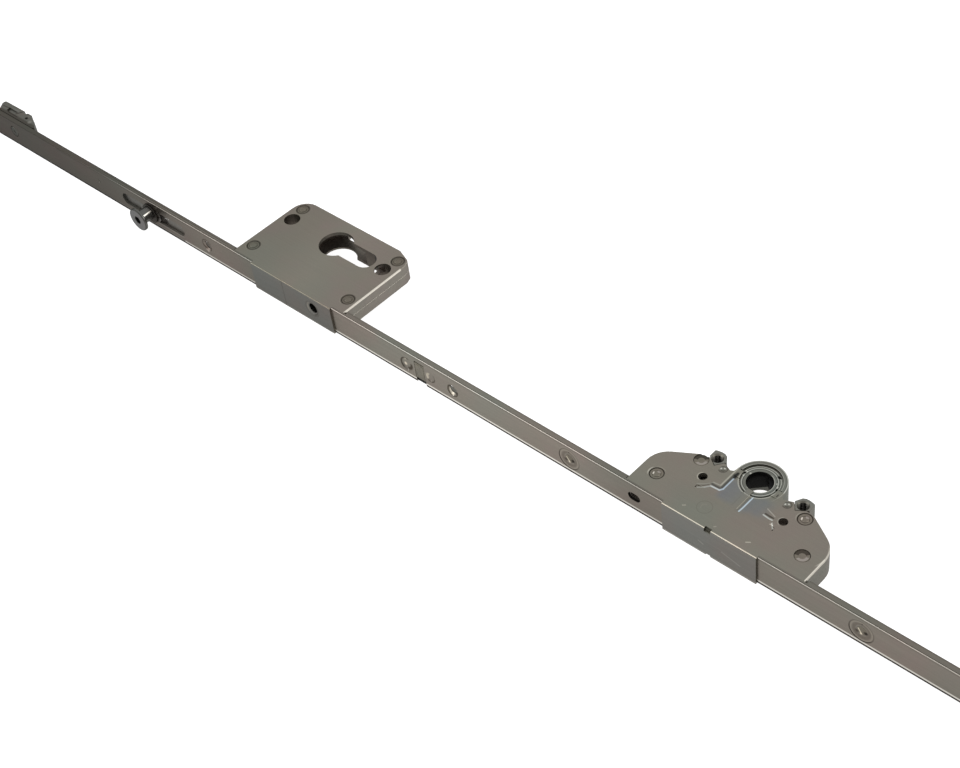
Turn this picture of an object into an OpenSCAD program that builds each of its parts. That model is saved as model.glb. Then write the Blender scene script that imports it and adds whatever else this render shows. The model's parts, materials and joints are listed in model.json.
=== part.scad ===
// Patio door lock: a face rail with a drive rod, a gearbox for the handle
// and a lock case for a profile cylinder.
// Millimetres. X runs along the rail, Z is up, the spindle axis is X = Y = 0.

/* [Rail] */
// distance from the face of the rail to the spindle axis
backset = 32.8; // [32.6:0.1:33.4]
// length of the rail on the lock side of the spindle
rail_left = 520; // [514:2:580]
// length of the rail on the other side of the spindle
rail_right = 150; // [144:2:200]
// width of the rail face
rail_width = 16; // [15.9:0.1:16.6]
// depth of the rail channel
rail_depth = 3.2; // [3.15:0.05:3.4]
// thickness of the face of the channel
web = 1.2; // [1.1:0.05:1.25]
// thickness of the two flanges of the channel
flange = 1.1; // [0.9:0.05:1.1]
// radius of the long outer edges of the channel
edge_r = 0.5; // [0.3:0.05:0.6]

/* [Case plates] */
// thickness of the sheet of both case plates
sheet = 0.9; // [0.8:0.05:0.95]
// how far the folded flanges stand in front of the rail
fold = 0.9; // [0.7:0.05:1]
// radius of the fold
fold_r = 0.8; // [0.4:0.1:0.8]

/* [Gearbox] */
// total thickness of the gearbox
gear_thick = 11.6; // [11.4:0.1:12]
// half length of the gearbox at the rail
gear_half = 44.6; // [44.4:0.1:46]
// outer radius of the round hub of the housing
hub_r = 11.7; // [11.6:0.1:12]
// distance between the two handle screws
screw_pitch = 43; // [42.8:0.1:43.4]
// width of the handle nuts
nut_wide = 7.8; // [7.6:0.1:8]
// radius of the threaded hole of the handle nuts
nut_bore_r = 2.1; // [2:0.05:2.2]
// radius of the rivet heads in the plates
rivet_head_r = 3.1; // [2.8:0.1:3.2]
// depth of the pressed area of the gearbox plate
emboss = 0.4; // [0.3:0.05:0.45]
// radius of the rivet shanks
rivet_r = 1.6; // [1.4:0.1:1.7]

/* [Drive] */
// side of the square socket for the handle spindle
socket = 8; // [7.6:0.1:8]
// pitch of the teeth of follower and rack
tooth_pitch = 3; // [2.96:0.01:3.02]
// height of a tooth above the pitch line
tooth_high = 0.8; // [0.7:0.05:0.85]
// radius of the two journals of the follower
journal_r = 7.2; // [7:0.05:7.3]
// clearance of parts that run in each other
run = 0.05; // [0.04:0.01:0.08]
// travel of the drive rod to each side
stroke = 15; // [14:0.5:15]

/* [Lock case] */
// total thickness of the lock case
lock_thick = 10.7; // [10.6:0.1:11]
// distance from the spindle axis to the axis of the cylinder
cylinder_x = 255.2; // [255:0.1:255.5]
// distance from the face of the rail to the axis of the cylinder
cylinder_y = 34.2; // [34.1:0.1:34.4]
// radius of the round part of the cylinder opening
cylinder_r = 8.8; // [8.6:0.1:8.9]
// width of the tail of the cylinder opening
tail_wide = 10.8; // [10.4:0.1:11]
// radius that the cylinder cam needs to turn
cam_space_r = 15.4; // [15:0.1:15.4]
// radius of the two through holes beside the cylinder
case_hole_r = 4.15; // [4:0.05:4.2]
// distance of the two through holes from the cylinder axis
case_hole_x = 32.3; // [32.1:0.1:32.4]
// travel of the blocking slide
slide_travel = 4; // [3.6:0.1:4]

/* [Locking cam] */
// distance from the spindle axis to the turning axis of the locking cam
cam_x = 361.3; // [360.5:0.1:362]
// offset of the cam roller from its turning axis
cam_offset = 0.9; // [0.6:0.1:1]
// radius of the mushroom head
cam_head_r = 6.4; // [6:0.1:6.8]
// radius of the roller under the head
cam_roller_r = 3.7; // [3.5:0.1:3.9]
// distance from the rail face to the front of the mushroom head
cam_out = 8.5; // [8:0.1:9.5]

/* [Hidden] */
$fn = 48;
arc_steps = 6;
// top level of rail and plates, and the underside of the plates
top = rail_width / 2;
under = top - sheet;
// levels of the gearbox
gear_low = top - gear_thick;
gear_seam = top - 5.8;
rack_low = top - 8.4;
rack_high = top - 2.9;
chamber_low = rack_low - 1.6;
chamber_high = top - 2.4;
// levels of the lock case
lock_low = top - lock_thick;
lock_seam = top - 5.35;
slide_low = top - 7.7;
slide_high = top - 3.1;
// face of the rail in the frame of the spindle
face_y = -backset;
// back of the channel, where both cases begin
case_y = face_y + rail_depth;
// drive rod inside the channel
rod_front = web + run;
rod_back = rail_depth - 3 * run;
rod_half = top - flange - 2 * run;
rod_to = rail_right - 25;
// toothed follower and rack
teeth = 20;
pitch_r = teeth * tooth_pitch / 360 * 180 / PI;
tip_r = pitch_r + tooth_high;
root_r = pitch_r - tooth_high - 0.2;
tooth_half = tooth_pitch / 4 - 0.12;
tooth_lean = tan(20);
rack_teeth = 14;
rack_half = rack_teeth * tooth_pitch / 2;
rack_back = -pitch_r - tooth_high - 0.2;
rack_front = rack_back - 7.8;
foot_half = 8;
hub_eye_r = 5.8;
collar_r = 8.1;
plate_eye_r = 8.5;
terrace_r = 8.8;
rim_r = 9.7;
rim_front = 0.6;
chamber_r = tip_r + 0.3;
low_journal_r = journal_r + 1;
bush_r = low_journal_r + 1.4;
bush_high = chamber_low + 1.2;
// wide well under the square socket
well_r = journal_r - 0.2;
well_high = gear_low + 3.4;
// handle nuts
nut_x = screw_pitch / 2;
nut_low = top - 7.2;
nut_lip_r = 2.75;
nut_shank_r = 3.3;
nut_foot_r = 2.8;
ear_r = 3.9;
ear_high = gear_low + 0.9;
// rivets and pins of the gearbox plate
gear_rivets = [[-36.4, -21.9], [26.2, -5.4], [-26.4, -4.8], [36.2, -21.4]];
gear_holes = [[-20.2, -11.8], [20.2, -11.8]];
gear_hole_r = 2;
plate_pins = [[-16.1, -3.5], [16.1, -3.5]];
plate_pin_r = 1.5;
// folded flanges in front of the rail
gear_fold = [-24.7, 22.9];
lock_fold = [-280, -223.5];
fold_notch = [-2.9, 0.4];
notch_gap = 0.3;
// lock case
lock_left = -294;
lock_right = -215.8;
lock_back = 49.05;
lock_rivets_at = [[-288.7, 9.2], [-221, 9.2], [-288.7, 42.8], [-221, 42.8]];
tail_end = cylinder_x - 26;
cylinder_screw = [-237, top - 7.2];
cylinder_screw_r = 2.7;
nose_x = -255;
nose_half = 3;
slide_left = -267;
slide_right = -243.5;
slide_front = 11.5;
slide_back = 18.3;
nose_front = 7.4;
guide_pin = [-255, 11];
lever_pin = [-277, 26];
spring_left = -284.5;
pin_r = 1.5;
lug_x = -263;
lug_half = 3;
lug_back = nose_front - 0.4;
// guide studs between rail and rod
studs_at = [-75.9, 71.7];
stud_r = 2.9;
stud_neck_r = 2.3;
stud_head_r = 4.6;
// openings of the rail face
cam_slot = [-cam_x - 23.2, -cam_x + 27.3];
cam_slot_half = 3.4;
rail_screws_at = [-316, -145.2, 128];
rail_screw_r = 2.2;
rail_screw_head_r = 3.5;
case_slot = [-43.3, -36.8];
case_slot_half = 2.2;
clip_from = -168.9;
clip_to = -162.6;
dish_at = [-174, -0.4];
small_dish_at = [-159.2, 0];
mark_at = [-404.4, 1.2];
// left end block and the screw that holds it
bracket_from = -rail_left + 20;
bracket_to = bracket_from + 35;
bracket_back = rail_depth + 7;
bracket_screw = [bracket_from + 19.1, 1.2];
rod_from = bracket_to + 17;
// ends of the middle rod
link = [-276, -210];
// plate under the locking cam, as long as the slot of the rail lets the rod travel
base_from = cam_slot[0] + stroke + 0.3;
base_to = -cam_x + 8;

// shapes used by all parts

module box(x, y, z)
  translate([x[0], y[0], z[0]]) cube([x[1] - x[0], y[1] - y[0], z[1] - z[0]]);

module upright(at, r, z)
  translate([at[0], at[1], z[0]]) cylinder(r = r, h = z[1] - z[0]);

module upright_cone(at, r1, r2, z)
  translate([at[0], at[1], z[0]]) cylinder(r1 = r1, r2 = r2, h = z[1] - z[0]);

// cylinder along Y at a place [x, z] between two depths
module across(at, r, y)
  translate([at[0], y[0], at[1]]) rotate([-90, 0, 0]) cylinder(r = r, h = y[1] - y[0]);

module across_cone(at, r1, r2, y)
  translate([at[0], y[0], at[1]]) rotate([-90, 0, 0]) cylinder(r1 = r1, r2 = r2, h = y[1] - y[0]);

// round ended slot along X, cut through Y
module slot(x, z, half, y) {
  across([x[0] + half, z], half, y);
  across([x[1] - half, z], half, y);
  box([x[0] + half, x[1] - half], y, [z - half, z + half]);
}

module on_rail()
  translate([0, face_y, 0]) children();

module lying(x)
  translate([x[0], 0, 0]) rotate([90, 0, 90]) linear_extrude(x[1] - x[0]) children();

module sheet_of(points, z)
  translate([0, 0, z[0]]) linear_extrude(z[1] - z[0]) polygon(points);

function unit(v) = v / norm(v);

// points of the arc that rounds the corner b between a and c
function arc_corner(a, b, c, r) =
  let (
    u = unit(a - b),
    v = unit(c - b),
    half = acos(u * v) / 2,
    mid = b + unit(u + v) * r / sin(half),
    from = b + u * r / tan(half) - mid,
    to = b + v * r / tan(half) - mid,
    a0 = atan2(from[1], from[0]),
    raw = atan2(to[1], to[0]) - a0,
    turn = raw > 180 ? raw - 360 : raw < -180 ? raw + 360 : raw
  )
  [for (i = [0 : arc_steps]) mid + r * [cos(a0 + turn * i / arc_steps), sin(a0 + turn * i / arc_steps)]];

// outline from corners given as [x, y, radius]
function rounded(corners) =
  let (n = len(corners))
  [for (i = [0 : n - 1])
    let (
      p = corners[i],
      q = corners[(i + n - 1) % n],
      s = corners[(i + 1) % n]
    )
    each p[2] <= 0 ? [[p[0], p[1]]] : arc_corner([q[0], q[1]], [p[0], p[1]], [s[0], s[1]], p[2])];

function mirrored(corners) =
  [for (i = [len(corners) - 1 : -1 : 0]) [-corners[i][0], corners[i][1], corners[i][2]]];

function hexagon(r, turn) =
  [for (i = [0 : 5]) r * [cos(turn + 60 * i), sin(turn + 60 * i)]];

module on_nuts()
  for (side = [-1, 1]) translate([side * nut_x, 0, 0]) children();

// outline of the right nut around its hole, for a width of 1
nut_corners = [
  [-0.154, -0.5, 0.04], [0.462, -0.09, 0.04], [0.462, 0.397, 0.06], [0.359, 0.449, 0.06],
  [0.064, 0.5, 0.1], [-0.141, 0.487, 0.06], [-0.321, 0.397, 0.06], [-0.538, 0, 0.04]
];

// the two nuts are mirror images of each other
module nut_prism(z)
  for (side = [0, 1])
    mirror([side, 0, 0])
      translate([nut_x, 0, 0]) sheet_of(nut_wide * rounded(nut_corners), z);

// Rail

module channel_profile()
  polygon(rounded([
    [0, -top, edge_r], [rail_depth, -top, edge_r], [rail_depth, -top + flange, 0],
    [web, -top + flange, 0], [web, top - flange, 0], [rail_depth, top - flange, 0],
    [rail_depth, top, edge_r], [0, top, edge_r]
  ]));

module flange_gap(x)
  box(x, [web, rail_depth + 1], [under - 1, top + 1]);

module ringed_dish(x) {
  across([x, 0], 5.6, [-1, 0.15]);
  across_cone([x, 0], 4.6, 3.6, [0.1, 0.45]);
}

module faceplate()
  color([0.47, 0.45, 0.43])
  on_rail()
  difference() {
    lying([-rail_left, rail_right]) channel_profile();
    flange_gap([lock_left - notch_gap, lock_right + 1.4]);
    flange_gap([-gear_half - notch_gap, gear_half + 1.4]);
    for (x = [lock_fold, gear_fold]) box(x, [-1, web + 1], [under, top + 1]);
    slot(cam_slot, 0, cam_slot_half, [-1, web + 1]);
    slot(case_slot, 0.3, case_slot_half, [-1, web + 1]);
    for (x = rail_screws_at) {
      across([x, 0], rail_screw_r, [-1, web + 1]);
      across_cone([x, 0], rail_screw_head_r + 1.2, rail_screw_r, [-1.2, web - 0.2]);
    }
    for (x = studs_at) {
      ringed_dish(x);
      across([x, 0], stud_neck_r, [-1, web + 1]);
    }
    across(cylinder_screw, cylinder_screw_r, [-1, web + 1]);
    box([clip_from, clip_to], [-1, web + 1], [-top - 1, 5]);
    box([clip_from, clip_to], [-1, rail_depth + 1], [-top - 1, -top + flange]);
    across_cone(dish_at, 4.4, 3, [-0.2, 0.5]);
    across_cone(small_dish_at, 3, 2, [-0.1, 0.4]);
    across_cone(mark_at, 1.2, 0.6, [-0.1, 0.4]);
    across(bracket_screw, 1.8, [-1, web + 1]);
    across_cone(bracket_screw, 3.4, 3.2, [-1, 0.5]);
  }

module guide_studs()
  color([0.56, 0.54, 0.51])
  on_rail()
  for (x = studs_at) {
    across([x, 0], stud_neck_r, [0.35, web]);
    across([x, 0], stud_r, [web, rail_depth - run]);
    across([x, 0], stud_head_r, [rail_depth - run, rail_depth + 0.8]);
  }

module stop_clip()
  color([0.40, 0.44, 0.38])
  on_rail() {
    box([clip_from, clip_to], [0.15, web], [-5.2, 4.2]);
    box([clip_from + 0.8, clip_to - 0.8], [0, 0.15], [-4.4, 3.4]);
    box([clip_from, clip_to], [web - 0.3, web], [-top, -5.1]);
  }

module end_bracket()
  color([0.33, 0.32, 0.30])
  on_rail()
  difference() {
    union() {
      sheet_of(rounded([
        [bracket_to - 0.6, rail_depth, 0], [bracket_to, rail_depth + 0.9, 0.5],
        [bracket_to - 4.1, rail_depth + 4.2, 0.8], [bracket_to - 6.8, rail_depth + 4.7, 0.4],
        [bracket_to - 10.2, bracket_back, 0.8], [bracket_to - 13.8, bracket_back, 0.4],
        [bracket_to - 14.4, bracket_back - 1, 0.2], [bracket_to - 17, bracket_back + 0.1, 0.6],
        [bracket_from, bracket_back - 0.1, 1.2], [bracket_from + 0.3, bracket_back - 2.6, 0.8],
        [bracket_from + 2.7, rail_depth + 1.2, 0.5], [bracket_from + 2.7, rail_depth, 0]
      ]), [-top, top]);
      box([bracket_from + 3, bracket_to - 1], [web, rail_depth + 0.1], [-rod_half, rod_half]);
    }
    sheet_of([
      [bracket_from + 7.4, bracket_back - 2.6], [bracket_from + 15.4, bracket_back - 2.8],
      [bracket_from + 13.6, bracket_back - 5.2], [bracket_from + 8, bracket_back - 5.2]
    ], [top - 1, top + 1]);
    upright([bracket_to - 11, bracket_back - 3.3], 0.8, [top - 4, top + 1]);
    across(bracket_screw, 1.4, [web - 1, bracket_back + 1]);
  }

module bracket_screw()
  color([0.38, 0.37, 0.35])
  on_rail()
  difference() {
    union() {
      across_cone(bracket_screw, 2.8, 3, [-0.1, 0.5]);
      across(bracket_screw, 1.75, [0.5, web]);
      across(bracket_screw, 1.4, [web, bracket_back - 1]);
    }
    across(bracket_screw, 0.9, [-1, 0.3]);
  }

// Gearbox

gear_back = [
  [gear_half, -11.7, 11], [28.3, -2.1, 3.4], [17.2, -0.7, 0.8], [13.3, -2.3, 0.8],
  [12, -1.5, 0.4], [hub_r - 0.1, 0.4, 0], [hub_r - 2, 0.4, 0]
];
gear_corners = concat([[gear_half, face_y + web, 0]], gear_back);
gear_outline = rounded(concat(gear_corners, mirrored(gear_corners)));

case_corners = concat([[gear_half, case_y, 0]], gear_back);
case_outline = rounded(concat(case_corners, mirrored(case_corners)));

// V notch of the plate in front of the right handle nut
nut_notch = [[16.4, 1], [20.25, -4.25], [25.5, -0.75], [25.5, 3], [16.4, 3]];

// pressed area of the plate between hub and rail, with a rib left standing in its middle
rib_half = 1.4;
emboss_front = 18.4;
emboss_corners = [
  [11.1, -3.5, 0], [11.1, -12, 0.8], [14.6, -12.2, 0.4], [15.5, -12.6, 0.4],
  [16.4, -14.9, 1.5], [19.6, -16.8, 0.4], [19.6, -emboss_front, 0.6]
];
emboss_outline = rounded(concat(emboss_corners, mirrored(emboss_corners)));

// folded flange of a plate, along X, with rounded edge
module folded(x, inner)
  lying(x) polygon(rounded([
    [inner, under, 0], [inner, top, 0], [-fold, top, fold_r], [-fold, -top, 0],
    [0, -top, 0], [0, under, 0]
  ]));

module gearbox_cover()
  color([0.48, 0.47, 0.44])
  difference() {
    union() {
      sheet_of(gear_outline, [under, top]);
      upright([0, 0], hub_r, [under, top]);
      on_rail() folded(gear_fold, web);
    }
    upright([0, 0], plate_eye_r, [under - 1, top + 1]);
    box([-hub_r - 1, hub_r + 1], [rim_front, hub_r + 1], [under - 1, top + 1]);
    sheet_of(nut_notch, [under - 1, top + 1]);
    sheet_of([for (p = nut_notch) [-p[0], p[1]]], [under - 1, top + 1]);
    for (p = gear_holes) upright(p, gear_hole_r, [under - 1, top + 1]);
    for (p = plate_pins) upright(p, plate_pin_r, [under - 1, top + 1]);
    for (p = gear_rivets) {
      upright(p, rivet_r, [under - 1, top + 1]);
      upright_cone(p, rivet_head_r, rivet_head_r + 0.3, [under + 0.5, top + 0.1]);
    }
    difference() {
      sheet_of(emboss_outline, [top - emboss, top + 1]);
      box([-rib_half, rib_half], [-emboss_front - 1, -3], [under - 1, top + 2]);
    }
    on_rail() {
      box(fold_notch, [-2, web - 0.6], [top - 1.8, top + 1]);
      box([fold_notch[0] + 0.6, fold_notch[1] - 0.4], [-2, 0.1], [-top - 1, -top + 0.8]);
    }
  }

module gear_cavity() {
  upright([0, 0], chamber_r, [chamber_low + 1.2, chamber_high]);
  box([-rack_half - stroke - 0.6, rack_half + stroke + 0.6], [rack_front - 0.4, rack_back + 1.8],
      [rack_low - 0.2, rack_high + 0.2]);
  box([-foot_half - stroke - 0.4, foot_half + stroke + 0.4], [case_y - 1, rack_front],
      [rack_low - 0.2, rack_high + 0.2]);
}

module gear_rivet_holes()
  for (p = gear_rivets) upright(p, rivet_r, [gear_low - 1, top + 1]);

module gearbox_upper_housing()
  color([0.44, 0.43, 0.41])
  difference() {
    union() {
      sheet_of(case_outline, [gear_seam, under]);
      upright([0, 0], hub_r, [gear_seam, under]);
      difference() {
        union() {
          difference() {
            upright([0, 0], hub_r, [under, top]);
            upright([0, 0], rim_r, [under - 1, top + 1]);
          }
          upright([0, 0], terrace_r, [under, top - 0.5]);
        }
        box([-hub_r - 1, hub_r + 1], [-hub_r - 1, rim_front], [under - 1, top + 1]);
      }
      upright([0, 0], collar_r, [under, top - 0.3]);
      for (p = plate_pins) {
        upright(p, plate_pin_r, [under, top]);
        upright_cone(p, plate_pin_r, plate_pin_r - 0.6, [top, top + 0.35]);
      }
    }
    upright([0, 0], journal_r + run, [gear_seam - 1, top + 1]);
    gear_cavity();
    gear_rivet_holes();
    nut_prism([gear_seam - 1, top + 1]);
    for (p = gear_holes) upright(p, gear_hole_r, [gear_seam, top + 1]);
    box([-14.5, 14.5], [rack_front + 1.2, rack_front + 5.2], [chamber_high - 0.4, chamber_high + 0.6]);
    for (side = [-1, 1]) box([side * 8.9 - 1.4, side * 8.9 + 1.4], [0, 1.1], [top - 1.6, top + 1]);
    upright([5, 6.8], 0.8, [top - 1.6, top + 1]);
  }

module gearbox_lower_housing()
  color([0.42, 0.41, 0.39])
  difference() {
    union() {
      sheet_of(case_outline, [gear_low, gear_seam]);
      upright([0, 0], hub_r, [gear_low, gear_seam]);
      on_nuts() upright([0, 0], ear_r, [gear_low, ear_high]);
    }
    upright([0, 0], bush_r, [gear_low - 1, gear_seam + 1]);
    gear_cavity();
    gear_rivet_holes();
    nut_prism([nut_low, gear_seam + 1]);
    on_nuts() {
      upright([0, 0], nut_shank_r, [ear_high, gear_seam]);
      upright([0, 0], nut_foot_r, [gear_low - 1, gear_seam]);
    }
  }

// rivet from below the case to a low domed head sunk in the plate
module case_rivet(p, low) {
  upright(p, rivet_r, [low, under + 0.5]);
  upright_cone(p, rivet_head_r, rivet_head_r - 0.3, [under + 0.5, top - 0.1]);
  upright_cone(p, 1.5, 0.8, [top - 0.1, top + 0.3]);
  upright_cone(p, rivet_r + 0.8, rivet_r + 1, [low - 0.5, low]);
}

module gearbox_rivets()
  color([0.52, 0.50, 0.47])
  for (p = gear_rivets) case_rivet(p, gear_low);

module handle_nuts()
  color([0.55, 0.54, 0.52])
  difference() {
    union() {
      nut_prism([nut_low, top]);
      on_nuts() {
        upright([0, 0], nut_shank_r, [ear_high, nut_low]);
        upright([0, 0], nut_foot_r, [gear_low, ear_high]);
      }
    }
    on_nuts() {
      upright([0, 0], nut_bore_r, [gear_low - 1, top + 1]);
      upright_cone([0, 0], nut_bore_r, nut_lip_r, [top - 0.6, top + 0.05]);
    }
  }

module follower_bush()
  color([0.60, 0.52, 0.33])
  difference() {
    upright([0, 0], bush_r, [gear_low, bush_high]);
    upright([0, 0], low_journal_r + run, [gear_low - 1, bush_high + 1]);
  }

module detent_spring()
  color([0.62, 0.62, 0.61])
  difference() {
    union() {
      box([-14, 14], [rack_front + 1.3, rack_front + 5.1], [chamber_high, chamber_high + 0.6]);
      translate([0, rack_front + 1.3, 0])
        rotate([-90, 0, 0])
          linear_extrude(3.8)
            polygon([[-2, -chamber_high - 0.1], [-0.4, -rack_high - 0.1], [0.4, -rack_high - 0.1], [2, -chamber_high - 0.1]]);
    }
    box([-9, -3], [rack_front + 2.6, rack_front + 3.8], [chamber_high - 1, chamber_high + 1]);
    box([3, 9], [rack_front + 2.6, rack_front + 3.8], [chamber_high - 1, chamber_high + 1]);
  }

// Drive

// tooth that points along +Y from the pitch line, drawn around X = 0
function tooth_points(tip, root) = [
  [-tooth_half - root * tooth_lean, -root], [-tooth_half + tip * tooth_lean, tip],
  [tooth_half - tip * tooth_lean, tip], [tooth_half + root * tooth_lean, -root]
];

module handle_follower()
  color([0.40, 0.38, 0.35])
  difference() {
    union() {
      upright([0, 0], journal_r, [bush_high, top - 0.3]);
      upright([0, 0], low_journal_r, [gear_low, bush_high + 0.2]);
      upright([0, 0], root_r, [bush_high + 0.1, chamber_high - 0.1]);
      for (i = [0 : teeth - 1])
        rotate([0, 0, 180 + i * 360 / teeth])
          translate([0, pitch_r, 0])
            sheet_of(tooth_points(tooth_high, tooth_high + 0.5), [rack_low, rack_high]);
    }
    rotate([0, 0, 45])
      translate([-socket / 2, -socket / 2, gear_low - 1]) cube([socket, socket, gear_thick + 3]);
    upright([0, 0], hub_eye_r, [top - 2.4, top + 1]);
    upright([0, 0], well_r, [gear_low - 1, well_high]);
  }

// end of the middle rod that hooks into its neighbour; it points along X
module rod_hook(x, side, more)
  translate([x, 0, 0]) mirror([side, 0, 0]) {
    box([-1, 4 + more], [rod_front - more, rod_back + more], [-2 - more, 2 + more]);
    box([2.6 - more, 4 + more], [rod_front - more, rod_back + more], [-4 - more, 4 + more]);
  }

module drive_rod()
  color([0.57, 0.56, 0.54])
  on_rail()
  difference() {
    union() {
      box([rod_from, link[0] - run], [rod_front, rod_back], [-rod_half, rod_half]);
      box([link[1] + run, rod_to], [rod_front, rod_back], [-rod_half, rod_half]);
    }
    rod_hook(link[0], 1, run);
    rod_hook(link[1], 0, run);
    for (x = studs_at)
      slot([x - stroke - stud_r - 0.4, x + stroke + stud_r + 0.4], 0, stud_r + run, [0, rail_depth + 1]);
    for (x = rail_screws_at)
      slot([x - stroke - rail_screw_r - 0.4, x + stroke + rail_screw_r + 0.4], 0, rail_screw_r + 0.1,
           [0, rail_depth + 1]);
    slot([case_slot[0] - 12.2, case_slot[1] + 12.2], 0.3, case_slot_half + 0.05, [0, rail_depth + 1]);
    across([-cam_x, 0], 2 + run, [0, rail_depth + 1]);
    across([-351.9, -0.8], 2.2, [0, rail_depth + 1]);
    for (p = concat(rack_rivets_at, base_rivets_at)) across([p[0], p[1]], p[2], [0, rail_depth + 1]);
  }

// middle rod with the slot that lets the cylinder screw pass
module rod_link()
  color([0.57, 0.56, 0.54])
  on_rail()
  difference() {
    union() {
      box([link[0], link[1]], [rod_front, rod_back], [-rod_half, rod_half]);
      rod_hook(link[0], 1, 0);
      rod_hook(link[1], 0, 0);
    }
    slot([cylinder_screw[0] - stroke - 3.1, cylinder_screw[0] + stroke + 3.1], cylinder_screw[1],
         cylinder_screw_r + 0.1, [0, rail_depth + 1]);
    across([lug_rivet_at[0], lug_rivet_at[1]], lug_rivet_at[2], [0, rail_depth + 1]);
  }

module rod_rack()
  color([0.50, 0.49, 0.47])
  difference() {
    union() {
      box([-rack_half, rack_half], [rack_front, rack_back], [rack_low, rack_high]);
      box([-foot_half, foot_half], [face_y + rod_back, rack_front], [rack_low, rack_high]);
      for (i = [0 : rack_teeth - 1])
        translate([(i - rack_teeth / 2 + 0.5) * tooth_pitch, -pitch_r, 0])
          sheet_of(tooth_points(tooth_high, tooth_high + 0.5), [rack_low, rack_high]);
    }
    for (x = [-stroke, 0, stroke])
      translate([x, rack_front - 1, 0])
        rotate([-90, 0, 0])
          linear_extrude(rack_back - rack_front + 1)
            polygon([[-1.6, -rack_high - 0.2], [0, -rack_high + 0.9], [1.6, -rack_high - 0.2]]);
    on_rail() for (p = rack_rivets_at) across([p[0], p[1]], p[2], [0, rod_back + 5]);
  }

module rod_lug()
  color([0.50, 0.49, 0.47])
  on_rail()
  difference() {
    box([lug_x - lug_half, lug_x + lug_half], [rod_back, lug_back], [slide_low, slide_high]);
    across([lug_rivet_at[0], lug_rivet_at[1]], lug_rivet_at[2], [0, lug_back + 1]);
  }

// rivets of the rod as [x, z, radius]
rack_rivets_at = [[-5, top - 5.7, 1.2], [5, top - 5.7, 1.2]];
lug_rivet_at = [lug_x, top - 5.4, 1.2];
base_rivets_at = [[base_from + 1.9, 0, 1.2], [base_to - 2.6, 0, 1.2]];

module rod_rivets()
  color([0.60, 0.59, 0.57])
  on_rail() {
    for (p = rack_rivets_at) across([p[0], p[1]], p[2], [rod_front, rod_back + 5]);
    across([lug_rivet_at[0], lug_rivet_at[1]], lug_rivet_at[2], [rod_front, lug_back]);
    for (p = base_rivets_at) across([p[0], p[1]], p[2], [0.1, rod_back]);
  }

// Locking cam

module cam_base()
  color([0.36, 0.35, 0.33])
  on_rail()
  difference() {
    slot([base_from, base_to], 0, cam_slot_half - run, [0.1, rod_front]);
    across([-cam_x, 0], 2 + run, [-1, rail_depth]);
    for (p = base_rivets_at) across([p[0], p[1]], p[2], [-1, rail_depth]);
  }

module cam_washer()
  color([0.34, 0.34, 0.33])
  on_rail()
  difference() {
    across([-cam_x, 0], 5.6, [-0.9, -0.1]);
    across([-cam_x, 0], 2 + run, [-2, 1]);
    box([-cam_x - 6, -cam_x + 6], [-2, 1], [-5.6, -4.9]);
  }

module locking_cam()
  color([0.42, 0.41, 0.40])
  on_rail()
  difference() {
    union() {
      across([-cam_x, 0], 2, [-1, rod_back + 0.1]);
      across([-cam_x, 0], 3.1, [rod_back + 0.1, rod_back + 0.9]);
      across([-cam_x, cam_offset], cam_roller_r, [-cam_out + 1.5, -1]);
      across_cone([-cam_x, cam_offset], cam_head_r - 0.3, cam_head_r, [-cam_out, -cam_out + 0.3]);
      across([-cam_x, cam_offset], cam_head_r, [-cam_out + 0.3, -cam_out + 1.5]);
    }
    translate([-cam_x, -cam_out - 1, cam_offset])
      rotate([-90, 0, 0]) linear_extrude(3.6) polygon(hexagon(2.3, 0));
  }

// Lock case

lock_corners = [
  [lock_right, 42, 2], [-217.2, 45.9, 2.5], [-225.5, lock_back, 5], [lock_left, lock_back, 8.5]
];
lock_plate_outline = rounded(concat([[lock_right, web, 0]], lock_corners, [[lock_left, web, 0]]));
lock_case_outline = rounded(concat([[lock_right, rail_depth, 0]], lock_corners, [[lock_left, rail_depth, 0]]));

// opening for the profile cylinder
module cylinder_opening(z) {
  upright([-cylinder_x, cylinder_y], cylinder_r, z);
  upright([-tail_end - tail_wide / 2, cylinder_y], tail_wide / 2, z);
  box([-cylinder_x, -tail_end - tail_wide / 2], [cylinder_y - tail_wide / 2, cylinder_y + tail_wide / 2], z);
}

module case_holes(z)
  for (side = [-1, 1]) upright([-cylinder_x + side * case_hole_x, cylinder_y], case_hole_r, z);

module lock_cover()
  color([0.48, 0.47, 0.44])
  on_rail()
  difference() {
    union() {
      sheet_of(lock_plate_outline, [under, top]);
      folded(lock_fold, web);
    }
    cylinder_opening([under - 1, top + 1]);
    case_holes([under - 1, top + 1]);
    for (p = lock_rivets_at) {
      upright(p, rivet_r, [under - 1, top + 1]);
      upright_cone(p, rivet_head_r, rivet_head_r + 0.2, [under + 0.5, top + 0.1]);
    }
    across(cylinder_screw, cylinder_screw_r, [-2, 1]);
    across_cone(cylinder_screw, cylinder_screw_r + 1.4, cylinder_screw_r, [-fold - 0.1, -fold + 0.6]);
  }

module lock_cavity() {
  z = [slide_low - 0.1, slide_high + 0.1];
  upright([-cylinder_x, cylinder_y], cam_space_r, [lock_low + 1, top - 1.8]);
  box([slide_left - 0.1, slide_right + 0.1], [slide_front - slide_travel - 0.2, cylinder_y - cam_space_r + 1], z);
  box([lug_x - stroke - lug_half - 0.5, lug_x + stroke + lug_half + 0.5], [0, lug_back + 0.2], z);
  box([nose_x - nose_half - 0.1, nose_x + nose_half + 0.1], [0, slide_front + 0.2], z);
  box([spring_left, slide_left], [10, 29.6], z);
  for (p = [guide_pin, lever_pin]) upright(p, pin_r, [lock_low + 1, top - 1.8]);
  across(cylinder_screw, cylinder_screw_r, [0, cylinder_y]);
}

module lock_rivet_holes(z)
  for (p = lock_rivets_at) upright(p, rivet_r, z);

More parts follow.
